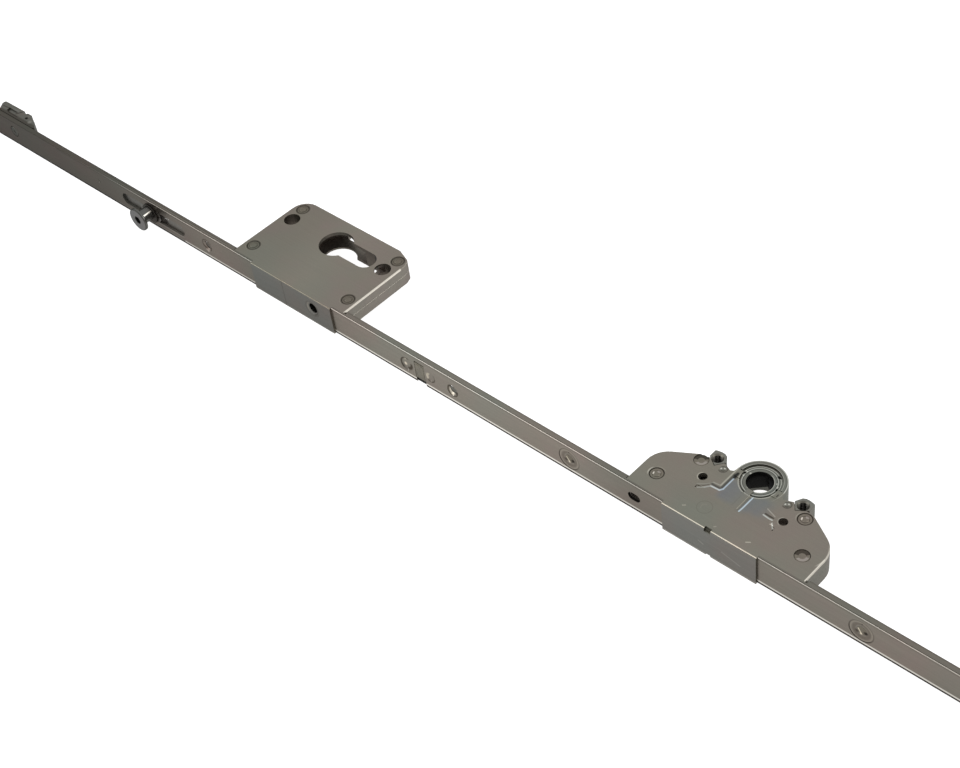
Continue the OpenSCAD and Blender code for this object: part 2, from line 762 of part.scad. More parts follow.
module lock_upper_case()
  color([0.45, 0.44, 0.42])
  on_rail()
  difference() {
    sheet_of(lock_case_outline, [lock_seam, under]);
    lock_cavity();
    cylinder_opening([lock_seam - 1, top + 1]);
    case_holes([lock_seam - 1, top + 1]);
    lock_rivet_holes([lock_seam - 1, top + 1]);
    box([-tail_end - 2, -cylinder_x + case_hole_x], [cylinder_y - 2.6, cylinder_y + 3.4], [lock_seam - 1, under + 1]);
  }

module lock_lower_case()
  color([0.44, 0.43, 0.41])
  on_rail()
  difference() {
    sheet_of(lock_case_outline, [lock_low, lock_seam]);
    lock_cavity();
    cylinder_opening([lock_low - 1, lock_seam + 1]);
    case_holes([lock_low - 1, lock_seam + 1]);
    lock_rivet_holes([lock_low - 1, lock_seam + 1]);
    box([-262.6, -257.4], [lock_back - 1.5, lock_back + 1], [lock_low - 1, lock_seam - 1]);
  }

module lock_rivets()
  color([0.52, 0.50, 0.47])
  on_rail()
  for (p = lock_rivets_at) case_rivet(p, lock_low);

module lock_pins()
  color([0.60, 0.59, 0.57])
  on_rail()
  for (p = [guide_pin, lever_pin]) upright(p, pin_r, [lock_low + 1, top - 1.8]);

module blocking_slide()
  color([0.55, 0.53, 0.48])
  on_rail()
  difference() {
    union() {
      box([slide_left, slide_right], [slide_front, slide_back], [slide_low, slide_high]);
      box([nose_x - nose_half, nose_x + nose_half], [nose_front, slide_back], [slide_low, slide_high]);
    }
    upright(guide_pin, pin_r + run, [lock_low, top]);
    upright([guide_pin[0], guide_pin[1] + slide_travel], pin_r + run, [lock_low, top]);
    box([guide_pin[0] - pin_r - run, guide_pin[0] + pin_r + run],
        [guide_pin[1], guide_pin[1] + slide_travel], [lock_low, top]);
    for (y = [13, 13 + slide_travel / 2 + 1])
      translate([slide_left, y, slide_low - 1]) rotate([0, 0, 45]) cube([1, 1, 8], center = false);
  }

module cylinder_lever()
  color([0.55, 0.53, 0.48])
  on_rail()
  difference() {
    union() {
      upright(lever_pin, 3.2, [slide_low, slide_low + 2.6]);
      sheet_of([[-279.4, 24], [-275.2, 22.4], [-275.2, 24.6], [-274, 25]], [slide_low, slide_low + 2.6]);
      sheet_of([[-279.2, 23.5], [-274.5, 23.2], [-267.3, 14.4], [-267.3, 12.6], [-271, 12.6]],
               [slide_low, slide_low + 2.6]);
      sheet_of([[-274.2, 17.6], [-270, 17.8], [-267.3, 14.4], [-267.3, 12.6], [-271, 12.6]],
               [slide_low, slide_high]);
    }
    upright(lever_pin, pin_r + run, [slide_low - 1, slide_high + 1]);
  }

module lever_spring()
  color([0.64, 0.64, 0.62])
  on_rail()
  difference() {
    union() {
      upright(lever_pin, 2.7, [slide_low + 2.8, slide_high - 0.2]);
      box([spring_left, lever_pin[0]], [lever_pin[1] + 1.9, lever_pin[1] + 2.6], [slide_low + 3, slide_high - 0.5]);
    }
    upright(lever_pin, pin_r, [slide_low - 1, slide_high + 1]);
  }

faceplate();
gearbox_cover();
gearbox_upper_housing();
gearbox_lower_housing();
gearbox_rivets();
handle_nuts();
follower_bush();
detent_spring();
lock_cover();
lock_upper_case();
lock_lower_case();
lock_rivets();
lock_pins();
lever_spring();
guide_studs();
stop_clip();
end_bracket();
bracket_screw();
drive_rod();
rod_link();
rod_rack();
rod_lug();
cam_base();
cam_washer();
rod_rivets();
locking_cam();
handle_follower();
blocking_slide();
cylinder_lever();
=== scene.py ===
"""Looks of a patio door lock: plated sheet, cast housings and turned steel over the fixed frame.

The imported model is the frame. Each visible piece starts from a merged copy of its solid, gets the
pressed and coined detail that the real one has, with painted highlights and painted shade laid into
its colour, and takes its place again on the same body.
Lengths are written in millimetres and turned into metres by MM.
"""

import json
import logging
import math
from collections.abc import Callable, Iterable, Iterator
from contextlib import contextmanager
from dataclasses import dataclass, field
from enum import Enum

import bmesh
import bpy
from mathutils import Matrix, Vector

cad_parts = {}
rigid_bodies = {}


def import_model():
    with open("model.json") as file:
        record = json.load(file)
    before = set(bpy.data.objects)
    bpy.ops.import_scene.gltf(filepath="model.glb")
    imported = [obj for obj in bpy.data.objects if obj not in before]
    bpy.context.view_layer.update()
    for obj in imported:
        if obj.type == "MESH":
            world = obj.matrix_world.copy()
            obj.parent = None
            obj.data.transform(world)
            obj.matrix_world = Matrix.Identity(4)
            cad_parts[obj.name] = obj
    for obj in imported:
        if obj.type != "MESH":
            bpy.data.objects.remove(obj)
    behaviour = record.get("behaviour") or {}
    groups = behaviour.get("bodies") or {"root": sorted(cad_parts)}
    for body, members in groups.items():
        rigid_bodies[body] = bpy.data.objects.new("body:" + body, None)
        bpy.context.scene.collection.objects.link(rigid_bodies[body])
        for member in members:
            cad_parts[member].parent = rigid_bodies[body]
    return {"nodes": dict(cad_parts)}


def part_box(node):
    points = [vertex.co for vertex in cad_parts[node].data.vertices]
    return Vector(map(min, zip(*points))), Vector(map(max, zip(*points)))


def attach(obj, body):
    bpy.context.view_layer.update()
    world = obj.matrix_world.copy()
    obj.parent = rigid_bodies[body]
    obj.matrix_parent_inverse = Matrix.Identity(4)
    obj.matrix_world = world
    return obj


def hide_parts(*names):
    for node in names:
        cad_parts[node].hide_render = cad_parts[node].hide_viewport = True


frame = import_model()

Piece = bpy.types.Object
Socket = bpy.types.NodeSocket
Face = bmesh.types.BMFace
Edge = bmesh.types.BMEdge
Pair = tuple[float, float]
Triple = tuple[float, float, float]

LOG = logging.getLogger("patio_door_lock")
MM = 0.001
FACE = -32.8  # Y of the rail's face
TOP = 8.0  # Z of the top of both plates
STUDS = (-75.9, 71.7)  # X of the guide studs
PINS = ((-16.1, -3.5), (16.1, -3.5))  # X and Y of the pins beside the hub
LOCK_RIVETS = ((-288.7, -23.6), (-221.0, -23.6), (-288.7, 10.0), (-221.0, 10.0))
DISH = 3.6  # width of the rounding at the right end of a plate, which carries a painted highlight
ROUNDING = 0.85  # width of the rubbed rounding at the right end of a plate
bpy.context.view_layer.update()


class Body(Enum):
    """The bodies of the frame that the dressed pieces ride on."""

    CASE = "case"
    ROD = "rod"
    CAM = "cam"
    FOLLOWER = "follower"


class Slot(Enum):
    """The material slots of the record, one named with each dressed piece."""

    SHEET = "sheet_steel"
    CAST = "cast_zinc"
    ROD = "rod_steel"
    DARK = "dark_steel"
    FASTENER = "fastener_steel"
    CLIP = "clip_plastic"


class Grain(Enum):
    """Which way the marks of making run: stretched noise scales per metre along X, Y and Z."""

    ALONG = (30.0, 1500.0, 1500.0)
    CAST = (420.0, 420.0, 420.0)
    TURNED = (900.0, 900.0, 900.0)


def linear(tone: Triple) -> tuple[float, ...]:
    """Turns a colour written as 0 to 255 into a shader's linear colour with full alpha."""
    shares = [c / 255 for c in tone]
    return (*(s / 12.92 if s <= 0.04045 else ((s + 0.055) / 1.055) ** 2.4 for s in shares), 1.0)


class Graph:
    """Writes the nodes of one material or of the world."""

    def __init__(self, owner: bpy.types.Material | bpy.types.World) -> None:
        """Empties the node tree of a material or world.

        Args:
            owner: the material or world whose nodes are written.
        """
        owner.use_nodes = True
        self.owner = owner
        self.tree = owner.node_tree
        self.tree.nodes.clear()

    def put(self, kind: str, inputs: dict | None = None, **settings: object) -> bpy.types.Node:
        """Adds a node.

        Args:
            kind: the node's type.
            inputs: socket name or number to a value, or to another node's output.
            **settings: properties of the node.

        Returns:
            The new node.
        """
        node = self.tree.nodes.new(kind)
        for key, value in settings.items():
            setattr(node, key, value)
        for key, value in (inputs or {}).items():
            if isinstance(value, Socket):
                self.tree.links.new(value, node.inputs[key])
            else:
                node.inputs[key].default_value = value
        return node

    def noise(self, where: Socket, scale: float, detail: float, rough: float = 0.55) -> Socket:
        """Adds a noise with so many patterns per metre and octaves."""
        inputs = {"Vector": where, "Scale": scale, "Detail": detail, "Roughness": rough}
        return self.put("ShaderNodeTexNoise", inputs).outputs["Fac"]

    def ranged(self, value: Socket, source: Pair, to: Pair) -> Socket:
        """Maps a value from one range to another, with clamped ends."""
        ends = dict(zip(("From Min", "From Max", "To Min", "To Max"), (*source, *to)))
        return self.put("ShaderNodeMapRange", {"Value": value, **ends}).outputs["Result"]

    def blend(self, share: object, one: object, two: object, how: str = "MIX") -> Socket:
        """Mixes two colours, with a share of the second that is a number or a socket."""
        return self.put("ShaderNodeMix", {0: share, 6: one, 7: two}, data_type="RGBA", blend_type=how).outputs[2]

    def shaded(self, tone: object, level: Socket) -> Socket:
        """Multiplies a colour by a grey level."""
        grey = self.put("ShaderNodeCombineColor", {0: level, 1: level, 2: level}).outputs[0]
        return self.blend(1.0, tone, grey, "MULTIPLY")

    def maths(self, how: str, one: object, two: object = 0.0) -> Socket:
        """Adds a Math node of two values or sockets."""
        return self.put("ShaderNodeMath", {0: one, 1: two}, operation=how).outputs[0]

    def vectors(self, how: str, one: object, two: object = (0.0, 0.0, 0.0)) -> Socket:
        """Adds a Vector Math node, whose result is a number for LENGTH and DOT_PRODUCT."""
        made = self.put("ShaderNodeVectorMath", {0: one, 1: two}, operation=how)
        return made.outputs["Value" if how in ("LENGTH", "DOT_PRODUCT") else "Vector"]

    def place(self) -> Socket:
        """Adds the place on the piece, in metres."""
        return self.put("ShaderNodeTexCoord").outputs["Object"]

    def split(self, place: Socket) -> list[Socket]:
        """Splits a place into its X, Y and Z."""
        return list(self.put("ShaderNodeSeparateXYZ", {0: place}).outputs)

    def seen(self) -> Socket:
        """Adds a value that is 1 to the camera, in reflections and through glass, and 0 elsewhere.

        Returns:
            The value.
        """
        rays = self.put("ShaderNodeLightPath").outputs
        direct = self.maths("MAXIMUM", rays["Is Camera Ray"], rays["Is Glossy Ray"])
        return self.maths("MAXIMUM", direct, rays["Is Transmission Ray"])

    def close(self, shader: bpy.types.Node, kind: str = "ShaderNodeOutputMaterial") -> bpy.types.ID:
        """Links a shader to the surface, and returns the material or world."""
        self.tree.links.new(shader.outputs[0], self.put(kind).inputs["Surface"])
        return self.owner


class View(Enum):
    """The flat view in which the marks of a finish are placed: which two axes it shows."""

    TOP = (0, 1)
    FRONT = (0, 2)

    def flat(self, graph: Graph, place: Socket) -> Socket:
        """Turns a place on the piece into a place of the flat view."""
        parts = graph.split(place)
        return graph.put("ShaderNodeCombineXYZ", {n: parts[axis] for n, axis in enumerate(self.value)}).outputs[0]


class Mark:
    """A painted mark with a soft rim, full within half of its half width and gone at 1.3 times it."""

    half: float
    tone: Triple
    share: float

    def strength(self, graph: Graph, flat: Socket) -> Socket:
        """Finds the share of the mark's colour at a place of the flat view."""
        raise NotImplementedError

    def near(self, graph: Graph, gap: Socket) -> Socket:
        """Turns the distance from the mark's middle line into its strength."""
        return graph.ranged(gap, (self.half * 0.5 * MM, self.half * 1.3 * MM), (self.share, 0.0))

    def paint(self, graph: Graph, flat: Socket, under: object) -> Socket:
        """Lays the mark over the colour so far."""
        return graph.blend(self.strength(graph, flat), under, linear(self.tone))


@dataclass(frozen=True)
class Stroke(Mark):
    """A straight painted mark between two places of a flat view, mostly a painted highlight or painted shade."""

    start: Pair
    end: Pair
    half: float
    tone: Triple
    share: float = 1.0

    def strength(self, graph: Graph, flat: Socket) -> Socket:
        """Finds the share of the mark's colour at a place of the flat view.

        Args:
            graph: the material's graph.
            flat: the place, in metres.

        Returns:
            The share.
        """
        start, end = (Vector((*at, 0.0)) * MM for at in (self.start, self.end))
        way = end - start
        off = graph.vectors("SUBTRACT", flat, start)
        along = graph.ranged(graph.vectors("DOT_PRODUCT", off, way / way.length_squared), (0.0, 1.0), (0.0, 1.0))
        foot = graph.put("ShaderNodeVectorMath", {0: way, "Scale": along}, operation="SCALE").outputs["Vector"]
        return self.near(graph, graph.vectors("LENGTH", graph.vectors("SUBTRACT", off, foot)))


@dataclass(frozen=True)
class Arc(Mark):
    """A round mark: a ring, the part of one within a spread of degrees, or with no radius a spot."""

    middle: Pair
    radius: float
    half: float
    tone: Triple
    share: float = 1.0
    towards: float = 0.0
    spread: float = 180.0

    def strength(self, graph: Graph, flat: Socket) -> Socket:
        """Finds the share of the mark's colour at a place of the flat view.

        Args:
            graph: the material's graph.
            flat: the place, in metres.

        Returns:
            The share.
        """
        off = graph.vectors("SUBTRACT", flat, Vector((*self.middle, 0.0)) * MM)
        gap = graph.maths("ABSOLUTE", graph.maths("SUBTRACT", graph.vectors("LENGTH", off), self.radius * MM))
        near = self.near(graph, gap)
        if self.spread == 180.0:
            return near
        turn = math.radians(self.towards)
        way = graph.vectors("DOT_PRODUCT", graph.vectors("NORMALIZE", off), (math.cos(turn), math.sin(turn), 0.0))
        edge = math.cos(math.radians(self.spread))
        return graph.maths("MULTIPLY", near, graph.ranged(way, (edge - 0.06, edge + 0.2), (0.0, 1.0)))


@dataclass(frozen=True)
class Metal:
    """A plated, cast or turned metal, with its marks of making, and painted highlights and painted shade.

    Levels of shading along X are pairs of X and brightness: on the rail, the rod and the slot's walls they
    are painted shade, darker towards the left end where less light falls. Blue bands, beside pressed
    steps, are X, half width and the Y of both ends.
    """

    name: str
    tone: Triple
    warm: Triple
    cool: Triple
    grain: Grain = Grain.ALONG
    rough: float = 0.34
    metallic: float = 0.92
    streak: float = 0.05
    relief: float = 0.06
    shading_along_x: tuple[Pair, ...] = ()
    blue_bands: tuple[tuple[float, float, float, float], ...] = ()
    view: View = View.TOP
    marks: tuple[Mark, ...] = ()
    gloss: float = 0.5

    def shaded_along_x(self, graph: Graph, place: Socket, tone: Socket) -> Socket:
        """Darkens the colour along X by levels: on the rail this is painted shade, where less light falls.

        Args:
            graph: the material's graph.
            place: the place on the piece.
            tone: the colour so far.

        Returns:
            The darkened colour.
        """
        if not self.shading_along_x:
            return tone
        low, high = self.shading_along_x[0][0], self.shading_along_x[-1][0]
        along = graph.ranged(graph.split(place)[0], (low * MM, high * MM), (0.0, 1.0))
        ramp = graph.put("ShaderNodeValToRGB", {"Fac": along})
        stops = ramp.color_ramp.elements
        while len(stops) < len(self.shading_along_x):
            stops.new(0.5)
        for stop, (x, level) in zip(stops, self.shading_along_x):
            stop.position = (x - low) / (high - low)
            stop.color = (level, level, level, 1.0)
        return graph.blend(1.0, tone, ramp.outputs["Color"], "MULTIPLY")

    def blued(self, graph: Graph, place: Socket, tone: Socket) -> Socket:
        """Tints soft bands beside pressed steps, where the bent sheet looks bluer.

        Args:
            graph: the material's graph.
            place: the place on the piece.
            tone: the colour so far.

        Returns:
            The tinted colour.
        """
        fade = 1.5
        across, along = graph.split(place)[:2]
        for x, half, *ends in self.blue_bands:
            off = graph.maths("ABSOLUTE", graph.maths("SUBTRACT", across, x * MM))
            near = graph.ranged(off, (0.0, half * 1.6 * MM), (1.0, 0.0))
            low, high = (
                graph.ranged(along, ((y - fade) * MM, (y + fade) * MM), to)
                for y, to in zip(ends, ((0.0, 1.0), (1.0, 0.0)))
            )
            share = graph.maths("MULTIPLY", graph.maths("MULTIPLY", near, low), graph.maths("MULTIPLY", high, 0.4))
            tone = graph.blend(share, tone, linear((104, 113, 124)))
        return tone

    def make(self) -> bpy.types.Material:
        """Builds the material.

        Returns:
            The finished material.
        """
        graph = Graph(bpy.data.materials.new(self.name))
        place = graph.place()
        brushed = graph.put("ShaderNodeMapping", {"Vector": place, "Scale": self.grain.value}).outputs[0]
        shifted = graph.put("ShaderNodeMapping", {"Vector": place, "Location": (0.31, 0.17, 0.53)}).outputs[0]
        lines = graph.noise(brushed, 1.0, 4.0, 0.6)
        clouds = graph.noise(place, 60.0, 3.0)
        drift = graph.noise(shifted, 24.0, 2.0)
        specks = graph.noise(place, 2600.0, 3.0, 0.7)
        tone = graph.blend(graph.ranged(clouds, (0.42, 0.66), (0.0, 1.0)), linear(self.tone), linear(self.warm))
        tone = graph.blend(graph.ranged(drift, (0.46, 0.68), (0.0, 0.9)), tone, linear(self.cool))
        tone = self.blued(graph, place, tone)
        tone = graph.shaded(tone, graph.ranged(lines, (0.3, 0.7), (1.0 - self.streak, 1.0 + self.streak)))
        tone = graph.shaded(tone, graph.ranged(specks, (0.25, 0.75), (0.94, 1.06)))
        flat = self.view.flat(graph, place)
        # The marks are mostly painted highlights and painted shade, laid over the colour.
        for mark in self.marks:
            tone = mark.paint(graph, flat, tone)
        fine = graph.ranged(specks, (0.3, 0.7), (-0.04, 0.05))
        broad = graph.ranged(clouds, (0.3, 0.7), (self.rough - 0.03, self.rough + 0.04))
        height = graph.maths("ADD", lines, graph.maths("MULTIPLY", specks, 0.5))
        bump = graph.put("ShaderNodeBump", {"Height": height, "Strength": self.relief, "Distance": 0.00012})
        surface = {
            "Base Color": self.shaded_along_x(graph, place, tone),
            "Roughness": graph.maths("ADD", fine, broad),
            "Metallic": self.metallic,
            "Specular IOR Level": self.gloss,
            "Specular Tint": (0.5, 0.5, 0.5, 1.0),
            "Normal": bump.outputs[0],
        }
        return graph.close(graph.put("ShaderNodeBsdfPrincipled", surface))


@dataclass(frozen=True)
class Moulded:
    """A moulded plastic with a fine eroded skin."""

    name: str
    tone: Triple
    rough: float = 0.45

    def make(self) -> bpy.types.Material:
        """Builds the material.

        Returns:
            The finished material.
        """
        graph = Graph(bpy.data.materials.new(self.name))
        place = graph.place()
        skin = graph.noise(place, 3800.0, 3.0)
        clouds = graph.noise(place, 190.0, 2.0)
        dark = tuple(c * 0.82 for c in self.tone)
        bump = graph.put("ShaderNodeBump", {"Height": skin, "Strength": 0.2, "Distance": 0.00008})
        surface = {
            "Base Color": graph.blend(
                graph.ranged(clouds, (0.35, 0.65), (0.0, 1.0)), linear(self.tone), linear(dark)
            ),
            "Roughness": graph.ranged(skin, (0.3, 0.7), (self.rough - 0.06, self.rough + 0.08)),
            "Normal": bump.outputs[0],
        }
        return graph.close(graph.put("ShaderNodeBsdfPrincipled", surface))


@dataclass(frozen=True)
class Backdrop:
    """The pale floor: white to the camera and in reflections, and still dimmed by a shadow."""

    name: str
    glow: float = 0.86
    tone: float = 0.8

    def make(self) -> bpy.types.Material:
        """Builds the material.

        Returns:
            The finished material.
        """
        graph = Graph(bpy.data.materials.new(self.name))
        cloth = graph.put("ShaderNodeBsdfDiffuse", {"Color": (self.tone, self.tone, self.tone, 1.0)})
        strength = graph.maths("MULTIPLY", graph.seen(), self.glow)
        glow = graph.put("ShaderNodeEmission", {"Color": (1.0, 1.0, 1.0, 1.0), "Strength": strength})
        return graph.close(graph.put("ShaderNodeAddShader", {0: cloth.outputs[0], 1: glow.outputs[0]}))


# Painted shade along the rail: brightness by X, darker towards the left end where less light falls. The top and the
# edge's painted highlight have their own levels.
RAIL_FALLOFF = (
    (-520, 0.27), (-440, 0.32), (-400, 0.39), (-350, 0.56), (-310, 0.71), (-280, 0.64), (-225, 0.8),
    (-190, 0.92), (-130, 0.98), (-70, 0.92), (-40, 0.75), (50, 0.82), (150, 0.78),
)
TOP_FALLOFF = ((-520, 0.4), (-440, 0.42), (-400, 0.46), (-350, 0.58), *RAIL_FALLOFF[4:])
LINE_FALLOFF = ((-520, 0.1), (-440, 0.11), (-405, 0.17), (-385, 0.32), (-350, 0.52), *RAIL_FALLOFF[4:])
# Tones of painted highlights and painted shade.
LIGHT = (190, 188, 178)
BLUISH = (178, 192, 203)
DARKER = (84, 80, 73)
DEEP = (48, 46, 42)

# Painted shade and painted highlights: light and dark rings of the studs' dishes, and dark spots with a bright stroke
# and spot on the studs.
STUD_DISH_SHADING = ((5.6, 0.3, (86, 80, 72), 0.6), (4.9, 0.3, (146, 138, 126), 0.6), (3.6, 0.8, (98, 90, 80), 0.55))
STUD_GLINTS_AND_SHADE = tuple(
    mark
    for x in STUDS
    for mark in (
        Arc((x + 1.9, -0.4), 0.0, 1.0, (36, 32, 28), 0.9),
        Arc((x - 2.2, -1.5), 0.0, 0.9, (58, 52, 46), 0.85),
        Stroke((x - 1.6, 0.6), (x - 0.1, -1.6), 0.28, (205, 196, 176), 0.9),
        Arc((x - 0.2, -1.9), 0.0, 0.55, (216, 206, 186), 0.9),
    )
)
# Painted highlights and painted shade on the rail's face: light and dark lines along its long edges and the slot's
# lip, crescents in its dishes and holes, and shade in the clip's slit.
RAIL_HIGHLIGHTS_AND_SHADE = (
    Stroke((-440.0, 7.15), (150.0, 7.15), 0.3, DARKER, 0.5),
    Stroke((-390.0, -6.1), (-335.0, -6.1), 0.4, (150, 146, 139), 0.8),
    Stroke((-335.0, -6.15), (150.0, -6.15), 0.5, (228, 224, 215), 0.95),
    Stroke((-515.0, -7.15), (150.0, -7.15), 0.6, (52, 49, 45), 0.95),
    Stroke((-356.0, -3.9), (-336.0, -3.9), 0.4, (160, 156, 148), 0.6),
    *STUD_GLINTS_AND_SHADE,
    Arc((-145.2, -0.3), 3.0, 0.35, (78, 71, 62), 0.9),
    Arc((-145.2, -0.6), 1.9, 0.55, (196, 188, 172), 0.9, 215.0, 62.0),
    Arc((-145.2, -0.6), 1.7, 0.8, (54, 48, 42), 0.9, 10.0, 60.0),
    Arc((-316.0, 0.84), 3.4, 0.3, (86, 76, 68), 0.85, 140.0, 120.0),
    Arc((-316.0, 0.84), 2.9, 0.25, (142, 126, 112), 0.6, -60.0, 80.0),
    Arc((-174.0, -0.4), 3.9, 0.45, (66, 60, 52), 0.9, 150.0, 85.0),
    Arc((-175.4, -0.7), 0.0, 0.9, (214, 204, 186), 0.95),
    Arc((-175.2, 2.6), 0.0, 0.6, (190, 182, 166), 0.8),
    Arc((-174.0, -0.4), 2.4, 0.9, (66, 59, 50), 0.9, -35.0, 65.0),
    Stroke((-168.3, 4.9), (-163.0, 4.7), 0.4, (74, 70, 62), 0.9),
    Arc((-159.2, 0.0), 2.0, 0.7, (186, 178, 162), 0.8, 170.0, 60.0),
    Arc((-159.2, 0.0), 2.7, 0.4, (80, 74, 66), 0.85, -40.0, 95.0),
    *(Arc((x, 0.0), *ring) for x in STUDS for ring in STUD_DISH_SHADING),
    Arc((-404.4, 1.2), 0.0, 1.0, (118, 116, 110), 0.8),
)
# Painted shade and a painted highlight along the top of the rail behind its front edge.
SIDE_HIGHLIGHTS_AND_SHADE = (
    Stroke((-520.0, -29.8), (-300.0, -29.8), 0.26, (62, 58, 53), 0.8),
    Stroke((-400.0, -31.0), (-300.0, -31.0), 0.2, (80, 76, 69), 0.6),
    Stroke((-400.0, -31.5), (-300.0, -31.5), 0.2, (150, 147, 137), 0.5),
    Stroke((-300.0, -30.2), (150.0, -30.2), 0.3, (104, 99, 91), 0.5),
)
# Painted light and painted shade on the end block's top, standing for its facets.
BLOCK_FACET_SHADING = (
    Stroke((-500.0, -29.4), (-466.0, -28.8), 1.5, (72, 69, 63), 0.9),
    Stroke((-489.5, -25.5), (-485.8, -24.7), 1.3, (113, 113, 108), 0.85),
    Stroke((-490.3, -28.1), (-481.7, -28.2), 0.35, (54, 49, 44), 0.9),
    Stroke((-484.4, -26.9), (-482.7, -23.9), 0.4, (56, 50, 45), 0.9),
    Stroke((-482.0, -26.6), (-480.4, -23.9), 0.6, (106, 100, 93), 0.8),
    Stroke((-497.4, -26.1), (-492.7, -25.7), 0.35, (58, 56, 50), 0.8),
    Arc((-475.4, -26.0), 0.0, 0.8, (52, 50, 44), 0.9),
    Arc((-476.0, -24.2), 0.0, 0.9, (116, 114, 108), 0.7),
    Arc((-471.3, -27.0), 0.0, 1.3, (130, 129, 122), 0.8),
)
# Painted shade over the hole beside the cam, and a painted highlight beside it.
BASE_HOLE_SHADE_AND_GLINT = (
    Stroke((-352.9, 0.3), (-350.0, -1.1), 1.3, (40, 33, 30), 0.95),
    Arc((-348.2, 1.3), 0.0, 0.5, (255, 252, 246), 0.95),
)
# Painted shade in the grooves round the lock's rivets, painted highlights on their rims, and a painted highlight along
# the plate's right edge.
LOCK_HIGHLIGHTS_AND_SHADE = tuple(
    mark
    for at in LOCK_RIVETS
    for mark in (
        Arc(at, 3.45, 0.28, (72, 68, 60), 0.75),
        Arc(at, 3.9, 0.16, (150, 146, 134), 0.5, 217.0, 50.0),
        Arc(at, 2.15, 0.22, (84, 80, 71), 0.7),
        Arc(at, 1.7, 0.3, (136, 132, 120), 0.6, 200.0, 60.0),
    )
) + (Stroke((-216.0, -31.0), (-216.0, 6.5), 0.33, (230, 224, 212), 0.9),)
# Painted shade and highlights in a dish of the lock's flange, painted highlights along the flanges' lower edges and in
# two streaks, and the dark seam between the lock's plates.
FLANGE_LIGHT_SHADE_AND_SEAM = (
    Arc((-237.0, 0.8), 4.5, 0.25, (76, 72, 66), 0.5),
    Arc((-237.0, 0.8), 3.5, 0.35, (140, 134, 124), 0.5, 170.0, 60.0),
    Arc((-237.0, 0.8), 3.6, 0.4, (70, 66, 60), 0.7, -10.0, 75.0),
    Stroke((-24.7, -7.4), (22.9, -7.4), 0.2, (150, 146, 138), 0.7),
    Stroke((-280.0, -7.4), (-223.5, -7.4), 0.2, (140, 136, 128), 0.6),
    Stroke((-257.5, -7.6), (-257.5, 7.6), 0.25, (74, 71, 66), 0.7),
    Stroke((-5.9, -1.5), (-3.4, -2.4), 0.2, (160, 156, 148), 0.5),
    Stroke((6.0, -0.5), (15.0, -2.6), 0.3, (150, 148, 142), 0.35),
)
